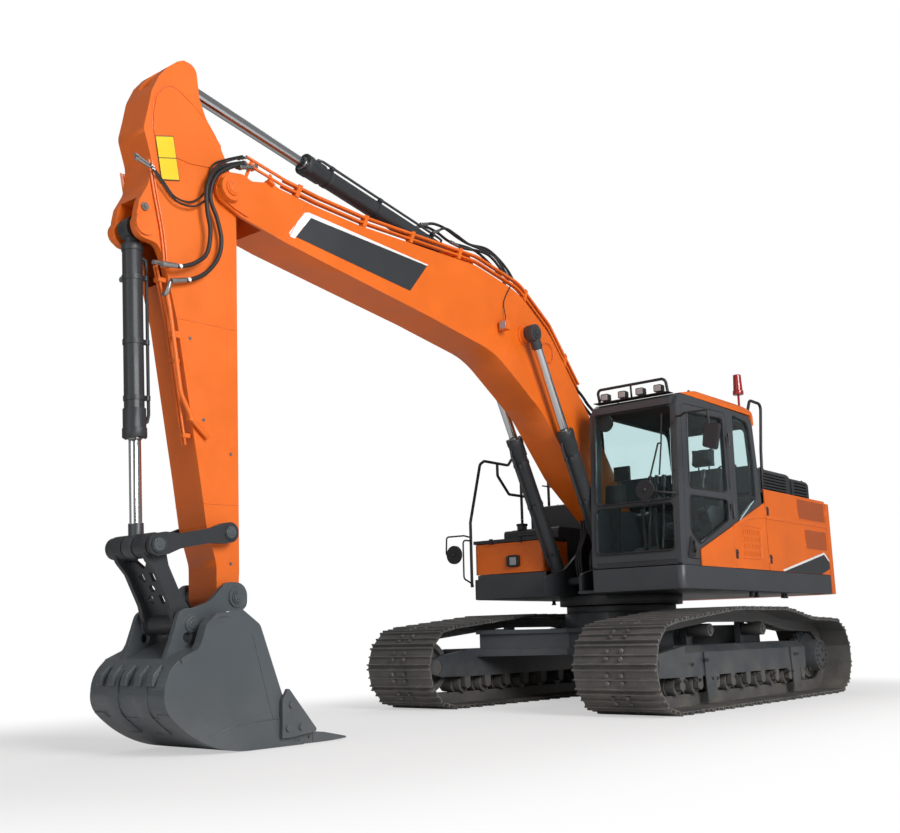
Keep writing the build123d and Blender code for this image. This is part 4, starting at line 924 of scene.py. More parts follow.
@dataclass
class CylinderTrim:
    """Gland bolts, clamp bands, side pipes and wiper rings of the hydraulic cylinders."""

    # name, body, base pin, rod pin, side, gland at, tube radius, side pipe angle, all in mm and degrees
    rows: tuple[tuple[str, str, Flat, Flat, float, float, float, float], ...] = (
        ("boom_cylinder_left", "boom_barrels", (640, 1210), (1880, 3500), 305, 1598, 70, 200),
        ("boom_cylinder_right", "boom_barrels", (640, 1210), (1880, 3500), -305, 1598, 70, 200),
        ("arm_cylinder", "arm_barrel", (2725, 4101), (5804, 4628), 0, 1867, 76, 40),
        ("bucket_cylinder", "bucket_barrel", (6118, 3420), (5998, 1300), 0, 1415, 66, 150))

    def build(self) -> None:
        """Dress each cylinder."""
        for name, body, base, rod, y, gland, radius, angle in self.rows:
            line = Member(mm(*base), mm(*rod))
            shape = Shape()
            ahead = Vector(line.at(gland + 10, 0)) - Vector(line.at(gland, 0))
            for k in range(8):
                t = math.tau * (k + 0.5) / 8
                place = line.at(gland, math.cos(t) * (radius + 2), y + math.sin(t) * (radius + 2))
                shape.bolt(place, ahead, 0.008)
            turn = math.radians(angle)
            for a in (340, gland * 0.55, gland - 260):
                self._ring(shape, line, a, y, radius + 5, 32)
                for side in (-1, 1):
                    up = math.cos(turn) * (radius + 18)
                    out = y + math.sin(turn) * (radius + 18) * side
                    shape.rod(line.at(a - 16, up, out), line.at(a + 16, up, out), 0.020, sides=12)
            course = ((200, -5), (215, 20), (260, 24), (gland - 150, 24), (gland - 100, 14), (gland - 95, 0))
            for side in (-1, 1) if y == 0 else (1,):
                pipe = []
                for a, lift in course:
                    up = math.cos(turn) * (radius + lift)
                    out = y + side * math.sin(turn) * (radius + lift)
                    pipe.append(line.at(a, up, out))
                shape.tube(pipe, 0.011, 10)
            shape.piece(f"{name}_fittings", DARK, body)
            wiper = Shape()
            self._ring(wiper, line, gland + 5, y, radius * 0.72, 14)
            wiper.piece(f"{name}_wiper_ring", ZINC, body)

    def _ring(self, shape: Shape, line: Member, a: float, y: float, radius: float, width: float) -> None:
        """Add a band round a cylinder.

        Args:
            shape: Shape to add to.
            line: The cylinder's own measures.
            a: Middle of the band along the cylinder.
            y: Side of the cylinder.
            radius: Radius of the band.
            width: Width of the band.
        """
        shape.rod(line.at(a - width / 2, 0, y), line.at(a + width / 2, 0, y), radius * MM, sides=40)


@dataclass
class BucketTrim:
    """Weld beads, back ribs and tooth pins of the bucket."""

    def build(self) -> None:
        """Make everything on the bucket."""
        skin = frame["nodes"]["bucket"]
        welds = Shape()
        for side in (-1, 1):
            lines = (((5020, 186), (5130, 186), (5386, 172), (5560, 150), (5700, 112)),
                     ((5360, 740), (5200, 260), (5170, 190)), ((5120, 66), (5120, 182)))
            for line in lines:
                course = rounded([mm(x, side * 700, z) for x, z in line])
                welds.tube(seated(skin, course, (0, -side, 0)), 0.0045, 6)
        back = ((-385, 262), (-290, 262), (-270, 236), (250, 236), (270, 262), (385, 262))
        welds.tube(seated(skin, [mm(6500, y, z) for y, z in back], (-1, 0, 0)), 0.007, 6)
        welds.piece("bucket_weld_beads", BUCKET_GREY, "bucket")
        self._back_ribs()
        bolts = Shape()
        low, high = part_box("bucket_teeth")
        step = (high[1] - low[1] - 0.096) / 3
        for k in range(4):
            y = low[1] + 0.048 + k * step
            bolts.rod((4.845, y - 0.056, 0.044), (4.845, y + 0.056, 0.044), 0.010, sides=12)
        bolts.piece("tooth_pins", DARK, "bucket")

    def _back_ribs(self) -> None:
        """Five ribs high on the back, under the ears."""
        shape = Shape()
        outline = ((6000, 560), (6054, 500), (6060, 440), (6046, 430), (5985, 556))
        for y in (-300, -170, -29, 112, 242):
            shape.prism([mm(x, y, z) for x, z in outline], mm(0, 58, 0))
        shape.piece("bucket_back_ribs", BUCKET_GREY, "bucket", edge=0.003)


@dataclass
class CabTrim:
    """Seals, wiper, lamp glasses, mirror faces and the cab's inner fittings."""

    left: float = 1338.0
    right: float = 392.0
    # ends of the front window's sloped line, as (x, z)
    front_low: Flat = (1123, 1884)
    front_high: Flat = (1070, 2784)
    # corners of the door's panes, as (x, z)
    panes: tuple[tuple[Flat, ...], ...] = (
        ((908, 2004), (868, 2738), (104, 2770), (104, 2026)),
        ((918, 1934), (936, 1600), (770, 1478), (104, 1752), (104, 1950)))

    def build(self) -> None:
        """Make everything on the cab."""
        self._seals()
        self._wiper()
        self._lamps()
        self._mirrors()
        self._inside()
        self._door()
        self._roof()

    def _front(self, y: float, z: float, ahead: float = 0.0) -> Point:
        """A place on the front window's plane."""
        x0, z0 = self.front_low
        x1, z1 = self.front_high
        return mm(x0 + (x1 - x0) * (z - z0) / (z1 - z0) + ahead, y, z)

    def _seals(self) -> None:
        """Rubber strips round the front and side panes."""
        shape = Shape()
        y_low, y_high = self.right + 56, self.left - 56
        for z_low, z_high in ((1888, 2780), (1418, 1852)):
            ring = ((y_low + 30, z_low), (y_high - 30, z_low), (y_high, z_low + 30), (y_high, z_high - 30),
                    (y_high - 30, z_high), (y_low + 30, z_high), (y_low, z_high - 30), (y_low, z_low + 30),
                    (y_low + 30, z_low))
            shape.tube([self._front(y, z, 6) for y, z in ring], 0.009, 8)
        shape.piece("front_window_seals", RUBBER, "upper_structure")
        doors = Shape()
        for pane in self.panes:
            ring = []
            for i, corner in enumerate(pane):
                before, after = Vector(pane[i - 1]), Vector(pane[(i + 1) % len(pane)])
                here = Vector(corner)
                a = here + (before - here).normalized() * 55
                b = here + (after - here).normalized() * 55
                ring += [a, a.lerp(here, 0.55).lerp(here.lerp(b, 0.45), 0.5), b]
            ring.append(ring[0])
            doors.tube([mm(p.x, self.left + 1, p.y) for p in ring], 0.008, 8)
        doors.piece("door_window_seals", RUBBER, "cab_door")

    def _wiper(self) -> None:
        """Wiper arm and blade on the front window, with its motor cover."""
        shape = Shape()
        shape.rod(self._front(1010, 1868, -4), self._front(1010, 1868, 44), 0.026)
        arm = ((1010, 1868, 36), (1060, 2100, 34), (1150, 2420, 24))
        blade = ((1150, 2120, 16), (1180, 2420, 18), (1190, 2700, 14))
        shape.tube([self._front(*place) for place in arm], 0.009, 8)
        shape.tube([self._front(*place) for place in blade], 0.008, 6)
        shape.rod(self._front(1148, 2420, 26), self._front(1182, 2420, 16), 0.008)
        shape.piece("front_wiper", PLASTIC, "upper_structure")

    def _lamps(self) -> None:
        """Glasses of the roof lamps and of the toolbox lamp."""
        glass = Shape()
        for k in range(4):
            y = 590 + 195 * k
            glass.box(mm(1104, y - 34, 2921), mm(1111, y + 34, 2977))
        glass.piece("roof_lamp_glasses", LAMP_GLASS, "upper_structure", edge=0.003)
        box = Shape().box(mm(810, -842, 1408), mm(818, -758, 1492))
        box.piece("toolbox_lamp_glass", LAMP_GLASS, "upper_structure", edge=0.004)
        bezel = Shape()
        for y0, y1, z0, z1 in ((-880, -852, 1396, 1504), (-748, -720, 1396, 1504),
                               (-852, -748, 1496, 1512), (-852, -748, 1388, 1404)):
            bezel.box(mm(789, y0, z0), mm(822, y1, z1))
        bezel.piece("toolbox_lamp_frame", PLASTIC, "upper_structure", edge=0.003)

    def _mirrors(self) -> None:
        """Silvered faces of the mirrors, looking back to the cab."""
        face = Shape()
        corners = ((1690, 2508), (1812, 2490), (1766, 2286), (1664, 2322))
        face.prism([mm(1171, y, z) for y, z in corners], mm(-1.5, 0, 0))
        face.rod(mm(1234, 1060, 1976), mm(1232, 1060, 1976), 0.084, sides=40)
        face.rod(mm(835, -1560, 1560), mm(833, -1560, 1560), 0.092, sides=40)
        face.piece("mirror_faces", CHROME, "upper_structure")
        rim = Shape()
        rim.ball(mm(1265, 1060, 1976), 0.020).ball(mm(866, -1560, 1560), 0.022)
        rim.rod(mm(1060, 560, 2700), mm(1050, 560, 2700), 0.085, sides=32)
        rim.rod(mm(1046, 560, 2700), mm(1030, 560, 2700), 0.07, sides=32)
        rim.piece("mirror_joints", PLASTIC, "upper_structure")

    def _inside(self) -> None:
        """Levers, pedals, monitor, arm rests, mat and lining behind the glass."""
        shape = Shape()
        for y in (600, 1130):
            shape.tube(rounded([mm(160, y, 2010), mm(190, y, 2100), mm(170, y, 2200)]), 0.014, 10)
            shape.rod(mm(172, y, 2180), mm(160, y, 2270), 0.026, 0.020)
            shape.rod(mm(160, y, 2005), mm(176, y, 2060), 0.050, 0.022)
            shape.box(mm(-250, y - 45, 2010), mm(60, y + 45, 2060))
        for y in (790, 940):
            shape.tube([mm(760, y, 1430), mm(700, y, 1760), mm(660, y, 2080)], 0.013, 10)
            shape.rod(mm(664, y, 2060), mm(640, y, 2190), 0.022)
            shape.box(mm(780, y - 55, 1440), mm(930, y + 55, 1470))
        shape.box(mm(760, 470, 2160), mm(800, 640, 2300))
        shape.tube([mm(770, 470, 1500), mm(780, 520, 2180)], 0.018, 10)
        shape.piece("cab_controls", PLASTIC, "upper_structure", edge=0.004)
        screen = Shape().box(mm(756, 482, 2172), mm(759, 628, 2288))
        screen.piece("cab_screen", PANEL, "upper_structure")
        mat = Shape().box(mm(180, 460, 1402), mm(1040, 1270, 1410))
        for k in range(12):
            mat.box(mm(200 + 68 * k, 470, 1409), mm(230 + 68 * k, 1260, 1415))
        mat.piece("cab_floor_mat", RUBBER, "upper_structure")
        trim = Shape()
        trim.box(mm(-560, 450, 2810), mm(900, 1290, 2822))
        trim.box(mm(-590, 460, 1990), mm(-560, 1280, 2040))
        trim.piece("cab_lining", LINING, "upper_structure")

    def _door(self) -> None:
        """Handle, latch, hinge straps and inner rail of the door."""
        shape = Shape()
        shape.slab([mm(890, 1360), mm(1030, 1350), mm(965, 1552), mm(892, 1508)], 1.3488, 1.3540)
        pull = ((905, 1352, 1400), (935, 1376, 1420), (940, 1376, 1470), (915, 1352, 1500))
        shape.tube(rounded([mm(*place) for place in pull]), 0.010, 8)
        for z in (1880, 2555):
            shape.box(mm(2, 1340, z - 30), mm(64, 1351, z + 32))
        shape.tube([mm(60, 1352, 2060), mm(60, 1352, 2700)], 0.004, 6)
        shape.piece("door_fittings", PLASTIC, "cab_door", edge=0.003)

    def _roof(self) -> None:
        """Hatch of the roof, and bolts of the roof and the front window's post."""
        hatch = Shape().box(mm(-360, 560, 2984), mm(420, 1170, 3000))
        hatch.piece("roof_hatch", PLASTIC, "upper_structure", edge=0.012)
        bolts = Shape()
        for x in (-560, 640):
            for y in (470, 1262):
                bolts.bolt(mm(x, y, 2976), (0, 0, 1), 0.012)
        for z in (2150, 2600):
            bolts.bolt(mm(1125 - (z - 1884) * 0.059, 1300, z), (1, 0, 0), 0.008)
        bolts.piece("cab_bolts", PLASTIC, "upper_structure")


@dataclass
class SeatCushions:
    """Operator's seat: sewn cushions filled by a cloth simulation."""

    voxel: float = 0.006
    pressure: float = 4.0
    reach: float = 0.016
    channel_depth: float = 0.006
    channel_width: float = 0.009
    channel_share: float = 0.24
    steps: int = 20
    # name, outline as (x, z), and its two sides, in mm
    cushions: tuple[tuple[str, tuple[Flat, ...], float, float], ...] = (
        ("seat_base", ((-300, 1652), (170, 1660), (178, 1760), (-290, 1752)), 640, 1090),
        ("seat_back", ((-306, 1780), (-418, 2330), (-330, 2346), (-202, 1810)), 650, 1080),
        ("seat_headrest", ((-420, 2385), (-428, 2560), (-352, 2570), (-326, 2405)), 750, 980))

    def build(self) -> None:
        """Make the cushions, the seams and the shell under them."""
        for name, outline, low, high in self.cushions:
            shape = Shape().slab([mm(*corner) for corner in outline], low * MM, high * MM)
            piece = shape.piece(name, CLOTH, "")
            self._fill(piece)
            inset = (high - low) * self.channel_share
            self._sew(piece, (low + inset) * MM, (high - inset) * MM)
            middle = Vector(mm(sum(x for x, _ in outline) / 4, 0, sum(z for _, z in outline) / 4))
            piping = Shape()
            for y in (low + 14, high - 14):
                piping.tube(self._ring(piece, middle + Vector(mm(0, y, 0))), 0.0035, 8)
            piping.piece(f"{name}_piping", CLOTH, "upper_structure")
            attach(piece, "upper_structure")
        shell = Shape().box(mm(-300, 640, 1606), mm(160, 1090, 1650))
        shell.box(mm(-180, 720, 1430), mm(60, 1010, 1610))
        for y in (805, 925):
            shell.rod(mm(-385, y, 2300), mm(-385, y, 2400), 0.008)
        made = shell.piece("seat_shell", PLASTIC, "upper_structure", edge=0.010)
        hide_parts("operator_seat")

    def _fill(self, piece: bpy.types.Object) -> None:
        """Puff a block up into a cushion.

        Args:
            piece: Block to fill, changed in place.
        """
        remesh = piece.modifiers.new("remesh", "REMESH")
        remesh.mode = "VOXEL"
        remesh.voxel_size = self.voxel
        self._apply(piece)
        start = [v.co.copy() for v in piece.data.vertices]
        cloth = piece.modifiers.new("cloth", "CLOTH")
        cloth.settings.use_pressure = True
        cloth.settings.uniform_pressure_force = self.pressure
        cloth.settings.effector_weights.gravity = 0.0
        cloth.settings.tension_stiffness = 40.0
        scene = bpy.context.scene
        for step in range(1, self.steps + 1):
            scene.frame_set(step)
        self._apply(piece)
        scene.frame_set(1)
        for vertex, old in zip(piece.data.vertices, start):
            move = vertex.co - old
            if move.length > self.reach:
                vertex.co = old + move.normalized() * self.reach
        smooth = piece.modifiers.new("smooth", "SMOOTH")
        smooth.iterations = 8
        self._apply(piece)

    def _sew(self, piece: bpy.types.Object, *seams: float) -> None:
        """Press sewn channels into a cushion and round it once more.

        Args:
            piece: Filled cushion, changed in place.
            seams: Sideways places of the channels.
        """
        for vertex in piece.data.vertices:
            near = min(abs(vertex.co.y - seam) for seam in seams)
            vertex.co -= vertex.normal * self.channel_depth * math.exp(-(near / self.channel_width) ** 2)
        piece.data.shade_smooth()
        piece.modifiers.new("subdivision", "SUBSURF").levels = 1

    def _ring(self, piece: bpy.types.Object, middle: Vector) -> list[Vector]:
        """Course of the piping round a cushion.

        Args:
            piece: Filled cushion.
            middle: Place inside the cushion that the ring goes round.

        Returns:
            Places on the cushion, the last one the same as the first.
        """
        ring = []
        for k in range(65):
            turn = math.tau * k / 64
            away = Vector((math.cos(turn), 0.0, math.sin(turn)))
            ring += seated(piece, [middle + away], -away)
        return ring

    def _apply(self, piece: bpy.types.Object) -> None:
        """Make the modifiers' result the piece's own mesh."""
        shown = piece.evaluated_get(bpy.context.evaluated_depsgraph_get())
        mesh = bpy.data.meshes.new_from_object(shown)
        piece.modifiers.clear()
        piece.data = mesh


# ================================================================ house
@dataclass
class HouseTrim:
    """Latches, swages, meshes, tail wedge, treads, caps and belly bolts of the house."""

    side: float = 1355.0
    # name, body and line of (x, z) of the pressed steps
    swages: tuple[tuple[str, str, tuple[Flat, ...]], ...] = (
        ("filter_door_swage", "filter_door", ((20, 1688), (-300, 1788), (-560, 1822), (-733, 1826))),
        ("cooler_door_swage", "cooler_door", ((-752, 1826), (-2434, 1826))))
    # name, finish, thickness and corners of the tail's films
    wedges: tuple[tuple[str, Finish, float, tuple[Flat, ...]], ...] = (
        ("tail_wedge_white", WHITE, 0.8, ((-1080, 1300), (-2300, 1534), (-2434, 1452), (-2434, 1430),
                                          (-2290, 1508), (-1120, 1284))),
        ("tail_wedge_dark", PANEL, 1.2, ((-1120, 1284), (-2290, 1508), (-2434, 1430), (-2434, 1350),
                                         (-2180, 1284))))
    # name, body, side and places of the latches
    latches: tuple[tuple[str, str, int, tuple[Flat, ...]], ...] = (
        ("filter_latch", "filter_door", 1, ((20, 1420),)),
        ("cooler_latch", "cooler_door", 1, ((-790, 1400), (-790, 1900))),
        ("pump_latch", "pump_door", -1, ((-740, 1400), (-740, 1900))))

    def build(self) -> None:
        """Make everything on the house."""
        self._swage()
        self._meshes()
        self._stripe()
        self._latches()
        self._decks()
        self._hood()
        self._belly()

    def _swage(self) -> None:
        """Pressed step along the upper side panels."""
        profile = ((-1, 26), (9, 2), (9, -6), (-1, -12))
        for name, body, points in self.swages:
            shape = Shape()
            for (x0, z0), (x1, z1) in zip(points, points[1:]):
                outline = [mm(x0, self.side + out, z0 + up) for out, up in profile]
                shape.prism(outline, mm(x1 - x0, 0, z1 - z0))
            shape.piece(name, ORANGE, body, edge=0.002)

    def _meshes(self) -> None:
        """Fine grilles over the cooler door's air openings and frames round them; the grilles' holes are
        black dots of painted shade.
        """
        out = self.side
        shape, rim = Shape(), Shape()
        for corners in (((-1600, 2098), (-2400, 2098), (-2400, 1876), (-1640, 1876), (-1590, 1990)),
                        ((-1760, 1768), (-2400, 1768), (-2400, 1552), (-1800, 1552), (-1750, 1660))):
            shape.slab([mm(*c) for c in corners], out * MM, (out + 1.5) * MM)
            rim.tube([mm(x, out + 1, z) for x, z in (*corners, corners[0])], 0.005, 6)
        shape.piece("cooler_door_meshes", MESH, "cooler_door")
        rim.piece("cooler_door_rims", ORANGE, "cooler_door")
        grille = Shape()
        frame_line = ((-130, 1388), (-130, 1712), (-600, 1712), (-560, 1388), (-130, 1388))
        grille.tube([mm(x, out + 1, z) for x, z in frame_line], 0.006, 6)
        grille.piece("filter_door_rim", ORANGE, "filter_door")

    def _stripe(self) -> None:
        """Blank dark wedge with a white upper edge on the tail."""
        for name, finish, lift, corners in self.wedges:
            shape = Shape().slab([mm(*c) for c in corners], self.side * MM, (self.side + lift) * MM)
            shape.piece(name, finish, "cooler_door")

    def _latches(self) -> None:
        """Paddle latches of the doors and their locks."""
        for name, body, side, places in self.latches:
            out = side * self.side
            low, high = sorted((out - 2, out + side * 8))
            shape = Shape()
            for x, z in places:
                shape.box(mm(x - 22, low, z - 46), mm(x + 22, high, z + 46))
                shape.rod(mm(x, out, z + 16), mm(x, out + side * 16, z + 16), 0.014)
                shape.rod(mm(x, out, z - 20), mm(x, out + side * 12, z - 20), 0.009)
            shape.piece(name, PLASTIC, body, edge=0.004)

    def _decks(self) -> None:
        """Tread plates, caps and bolts of tanks and covers."""
        shape = Shape()
        for low, high in ((-1300, -620), (-520, 1300)):
            for x in (-960, -900, -840, -780):
                shape.box(mm(x, low, 2129), mm(x + 26, high, 2135))
        shape.piece("deck_treads", PLASTIC, "upper_structure", edge=0.002)
        caps = Shape()
        for x, y, low, high, radius in ((-480, -800, 2138, 2172, 0.060), (230, -1080, 1878, 1900, 0.064),
                                        (-560, -1050, 2138, 2160, 0.120)):
            caps.rod(mm(x, y, low), mm(x, y, high), radius)
        for t in range(6):
            a = math.tau * t / 6
            caps.bolt(mm(-560 + 100 * math.cos(a), -1050 + 100 * math.sin(a), 2160), (0, 0, 1), 0.009)
        caps.piece("tank_caps", PLASTIC, "upper_structure", edge=0.004)
        handle = Shape()
        grip = ((-700, 1690), (-700, 1730), (-900, 1730), (-900, 1690))
        handle.tube(rounded([mm(560, y, z) for y, z in grip]), 0.008, 8)
        handle.box(mm(806, -720, 1640), mm(822, -680, 1700)).box(mm(806, -1100, 1640), mm(822, -1060, 1700))
        handle.piece("toolbox_handles", PLASTIC, "toolbox_lid", edge=0.002)

    def _hood(self) -> None:
        """Handle, bolts and raised ribs of the engine hood and cowl."""
        shape = Shape()
        for y in (-700, -300, 100, 960):
            shape.box(mm(-1900, y, 2438), mm(-1080, y + 26, 2452))
        grip = ((700, 2436), (700, 2480), (880, 2480), (880, 2436))
        shape.tube(rounded([mm(-1120, y, z) for y, z in grip]), 0.009, 8)
        shape.rod(mm(-1200, 1060, 2436), mm(-1200, 1060, 2478), 0.034)
        shape.piece("hood_ribs", DARK, "engine_hood", edge=0.004)
        bolts = Shape()
        for x in (-2460, -2040):
            for y in (-640, 260, 1100):
                bolts.bolt(mm(x, y, 2399), (0, 0, 1), 0.010)
        for y in (-900, 900):
            bolts.rod(mm(-2500, y, 2129), mm(-2500, y, 2160), 0.05)
        bolts.piece("cowl_bolts", PLASTIC, "upper_structure")

    def _belly(self) -> None:
        """Drain plugs under the deck, and the swing bearing's bolts."""
        shape = Shape()
        for x, y in ((-500, 1240), (-760, 1180), (-1400, 1200), (-1560, 1160), (-520, -1200), (-1500, -1180)):
            shape.rod(mm(x, y, 1064), mm(x, y, 1020), 0.020)
            shape.rod(mm(x, y, 1030), mm(x, y, 1014), 0.030, sides=6)
        for k in range(36):
            t = math.tau * k / 36
            shape.bolt(mm(605 * math.cos(t), 605 * math.sin(t), 1063), (0, 0, -1), 0.014)
        shape.piece("belly_bolts", DARK, "upper_structure")


# ================================================================ undercarriage
@dataclass
class TrackTrim:
    """Shoe bolts, sprocket bolts and frame bolts; lengths are in mm."""

    half: float = 1825.0
    radius: float = 359.5
    centre: float = 397.5
    hump: float = 867.0
    carrier: float = 590.0
    shoes: int = 49
    gauge_half: float = 1195.0

    def build(self) -> None:
        """Make everything on the undercarriage."""
        self._shoe_bolts()
        self._sprocket_bolts()
        self._frame_bolts()

    def _route(self) -> list[Vector]:
        """The closed line of the shoes' inner faces, as (x, z) in mm.

        Returns:
            Points along the line, with the first one again at the end.
        """
        lift = math.atan2(self.hump - self.centre - self.radius, self.half - self.carrier)
        line = []
        for middle, start in ((self.half, math.pi / 2 + lift), (-self.half, -math.pi / 2)):
            for i in range(41):
                a = start - (math.pi + lift) * i / 40
                x = middle + self.radius * math.cos(a)
                z = self.centre + self.radius * math.sin(a)
                line.append(Vector((x, z)))
        line += [Vector((-self.carrier - 620, self.centre + self.radius + 12)),
                 Vector((-self.carrier, self.hump)), Vector((self.carrier, self.hump)), line[0]]
        return line

    def _shoe_bolts(self) -> None:
        """Four bolts in the middle of every shoe."""
        line = self._route()
        lengths = [(b - a).length for a, b in zip(line, line[1:])]
        total = sum(lengths)
        for name, side in (("left_shoe_bolts", 1), ("right_shoe_bolts", -1)):
            shape = Shape()
            for k in range(self.shoes):
                goal, i = total * (k + 0.5) / self.shoes, 0
                while goal > lengths[i]:
                    goal, i = goal - lengths[i], i + 1
                ahead = (line[i + 1] - line[i]).normalized()
                out = Vector((-ahead.y, ahead.x))
                place = line[i] + ahead * goal + out * 12
                for along, across in ((-34, -70), (34, -70), (-34, 70), (34, 70)):
                    spot = place + ahead * along
                    across += side * self.gauge_half
                    shape.bolt(mm(spot.x, across, spot.y), (out.x, 0, out.y), 0.014)
            shape.piece(name, TRACK, "undercarriage")

    def _sprocket_bolts(self) -> None:
        """Rings of bolts on the travel motors' covers."""
        shape = Shape()
        _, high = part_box("sprockets")
        for side in (-1, 1):
            for count, ring, size in ((16, 130, 0.012), (3, 60, 0.014)):
                for k in range(count):
                    t = math.tau * k / count
                    x = -self.half * MM + ring * MM * math.cos(t)
                    z = self.centre * MM + ring * MM * math.sin(t)
                    shape.bolt((x, side * high[1], z), (0, side, 0), size)
        shape.piece("sprocket_bolts", DARK, "undercarriage")

    def _frame_bolts(self) -> None:
        """Bolts and grease points along the track frames."""
        shape = Shape()
        for side in (-1, 1):
            for x in (1380, 1100, 755, 262, -138, -525, -976, -1433):
                for dx in (-52, 52):
                    shape.bolt(mm(x + dx, side * 1392, 262), (0, side, 0), 0.013)
            for x in (900, 950, -1100, -1160):
                shape.bolt(mm(x, side * 1402, 430), (0, side, 0), 0.012)
            shape.rod(mm(1180, side * 1396, 400), mm(1180, side * 1408, 400), 0.016)
        shape.piece("frame_bolts", DARK, "undercarriage")


# ================================================================ stage
@dataclass
class Stage:
    """Floor, sky and lamps of the plain studio."""

    floor_radius: float = 60.0
    back: float = -1.8
    front: float = 5.6
    fade_start: float = 1.6
    fade_end: float = 4.2
    fade_least: float = 0.5
    floor_grey: float = 0.86
    floor_roughness: float = 0.85
    fill: float = 0.24
    # place, target, side in metres and watts of the lamps
    lamps: tuple[tuple[Point, Point, float, float], ...] = (
        ((6.5, 14.5, 7.5), (2.0, 0.0, 2.0), 7.0, 2250.0),
        ((15.0, 0.0, 5.0), (3.0, 0.0, 2.0), 6.0, 170.0),
        ((-7.0, -5.0, 11.0), (0.0, 0.0, 1.5), 8.0, 240.0))

    def build(self) -> None:
        """Make the floor, the world and the lamps."""
        self._floor()
        self._world()
        for place, target, size, power in self.lamps:
            self._lamp(place, target, size, power)

    def _floor(self) -> None:
        """A pale round floor that turns into the white background far out."""
        bpy.ops.mesh.primitive_circle_add(vertices=64, radius=self.floor_radius, fill_type="NGON")
        floor = bpy.context.object
        floor.name = "studio_floor"
        made, tree, shader = new_material("studio_floor")
        tree.fill(shader, {"Base Color": (self.floor_grey,) * 3, "Roughness": self.floor_roughness})
        white = tree.add("Emission", {"Color": (1.0, 1.0, 1.0), "Strength": 1.0})
        place = tree.add("TexCoord").outputs["Object"]
        axes = tree.add("SeparateXYZ", {0: place})
        ahead = tree.math("MAXIMUM", tree.math("SUBTRACT", axes.outputs["X"], self.front), 0.0)
        behind = tree.math("MAXIMUM", tree.math("SUBTRACT", self.back, axes.outputs["X"]), 0.0)
        flat = tree.add("CombineXYZ", {"X": tree.math("ADD", ahead, behind), "Y": axes.outputs["Y"]})
        far = tree.add("VectorMath", {0: flat.outputs[0]}, operation="LENGTH").outputs["Value"]
        path = tree.add("LightPath")
        fade = tree.ramp(far, self.fade_start, self.fade_end)
        share = tree.math("ADD", tree.math("MULTIPLY", fade, 1.0 - self.fade_least), self.fade_least)
        factor = tree.math("MULTIPLY", share, path.outputs["Is Camera Ray"])
        mixed = tree.add("MixShader", {0: factor, 1: shader.outputs[0], 2: white.outputs[0]})
        out = made.node_tree.nodes["Material Output"]
        made.node_tree.links.new(mixed.outputs[0], out.inputs["Surface"])
        floor.data.materials.append(made)

    def _world(self) -> None:
        """A sky that looks white and lights softly."""
        world = bpy.data.worlds.new("studio")
        bpy.context.scene.world = world
        world.use_nodes = True
        tree = NodeTree(world.node_tree)
        path = tree.add("LightPath")
        first = tree.math("SUBTRACT", 1.0, path.outputs["Diffuse Depth"], clamp=True)
        through = tree.math("MULTIPLY", path.outputs["Is Transmission Ray"], first)
        seen = tree.math("MAXIMUM", path.outputs["Is Camera Ray"], through)
        strength = tree.math("ADD", self.fill, tree.math("MULTIPLY", seen, 1.0 - self.fill))
        back = world.node_tree.nodes["Background"]
        tree.fill(back, {"Color": (1.0, 1.0, 1.0), "Strength": strength})

    def _lamp(self, place: Point, target: Point, size: float, power: float) -> None:
        """Add one area lamp.

        Args:
            place: Where it hangs.
            target: Where it points.
            size: Side of its square.
            power: Watts.
        """
        data = bpy.data.lights.new("studio_lamp", "AREA")
        data.size = size
        data.energy = power
        lamp = bpy.data.objects.new("studio_lamp", data)
        bpy.context.scene.collection.objects.link(lamp)
        lamp.location = place
        lamp.rotation_euler = (Vector(target) - Vector(place)).to_track_quat("-Z", "Y").to_euler()


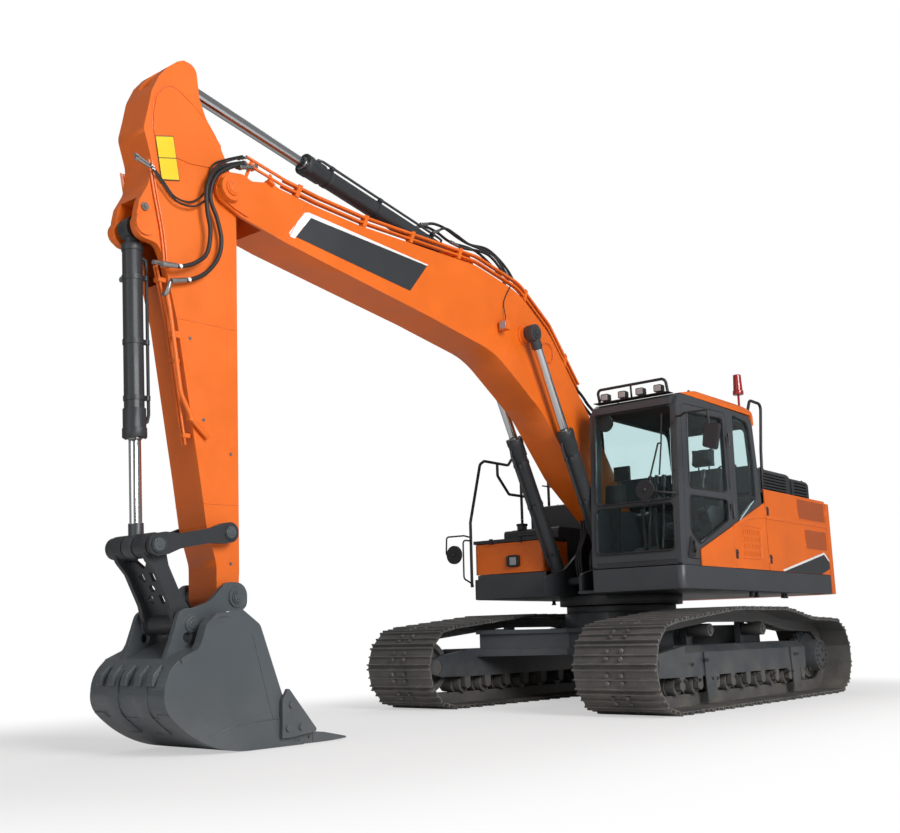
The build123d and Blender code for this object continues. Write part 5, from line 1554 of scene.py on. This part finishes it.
@dataclass(frozen=True)
class Viewpoint:
    """A camera near the ground at the front left of the machine."""

    place: Point = (10.1262, 5.994, 0.6945)
    yaw: float = 3.8261
    pitch: float = 0.1992
    roll: float = -0.0231
    lens: float = 43.42
    sensor: float = 36.0

    def build(self) -> None:
        """Make the camera the scene's own."""
        data = bpy.data.cameras.new("camera")
        data.lens = self.lens
        data.sensor_width = self.sensor
        camera = bpy.data.objects.new("camera", data)
        bpy.context.scene.collection.objects.link(camera)
        level_part = math.cos(self.pitch)
        ahead = Vector((level_part * math.cos(self.yaw), level_part * math.sin(self.yaw),
                        math.sin(self.pitch)))
        level = ahead.cross(Vector((0.0, 0.0, 1.0))).normalized()
        above = level.cross(ahead)
        right = level * math.cos(self.roll) + above * math.sin(self.roll)
        up = above * math.cos(self.roll) - level * math.sin(self.roll)
        turn = Matrix((right, up, -ahead)).transposed()
        camera.matrix_world = Matrix.Translation(self.place) @ turn.to_4x4()
        bpy.context.scene.camera = camera


# ================================================================ frame parts
@dataclass
class FrameDress:
    """Finishes and softened edges of the frame's own parts."""

    bevel: float = 0.004
    weld: float = 0.00005
    sharp_degrees: float = 32.0
    plain: tuple[str, ...] = ("cab_windows", "door_windows")
    slots: dict[str, str] = field(default_factory=dict)

    def build(self) -> None:
        """Give every frame part its finish and a small bevel."""
        for row in frame["record"]["subparts"]:
            self.slots[row["node"]] = row["material_slot"]
        for name, piece in frame["nodes"].items():
            piece.data.materials.clear()
            finish = ODD_FINISHES.get(name, FINISHES[self.slots[name]])
            piece.data.materials.append(finish.material())
            if name not in self.plain:
                self._soften(piece)
        log.info("dressed %d frame parts", len(self.slots))

    def _soften(self, piece: bpy.types.Object) -> None:
        """Round the hard edges of a part a little.

        Args:
            piece: Frame part.
        """
        weld = piece.modifiers.new("weld", "WELD")
        weld.merge_threshold = self.weld
        bevel = piece.modifiers.new("soft_edges", "BEVEL")
        bevel.width = self.bevel
        bevel.segments = 2
        bevel.limit_method = "ANGLE"
        bevel.angle_limit = math.radians(self.sharp_degrees)
        bevel.use_clamp_overlap = True
        bevel.harden_normals = True


def main() -> None:
    """Build every part of the scene in order."""
    bpy.context.scene.view_settings.view_transform = "Standard"
    parts = (FrameDress(), PinCaps(), BoomTrim(), ArmHoses(), ArmTrim(), CylinderTrim(), BucketTrim(),
             CabTrim(), SeatCushions(), HouseTrim(), TrackTrim(), Stage(), Viewpoint())
    for part in parts:
        part.build()
        log.info("%s done", type(part).__name__)


if __name__ == "__main__":
    logging.basicConfig(level=logging.INFO, format="%(name)s: %(message)s")
    main()
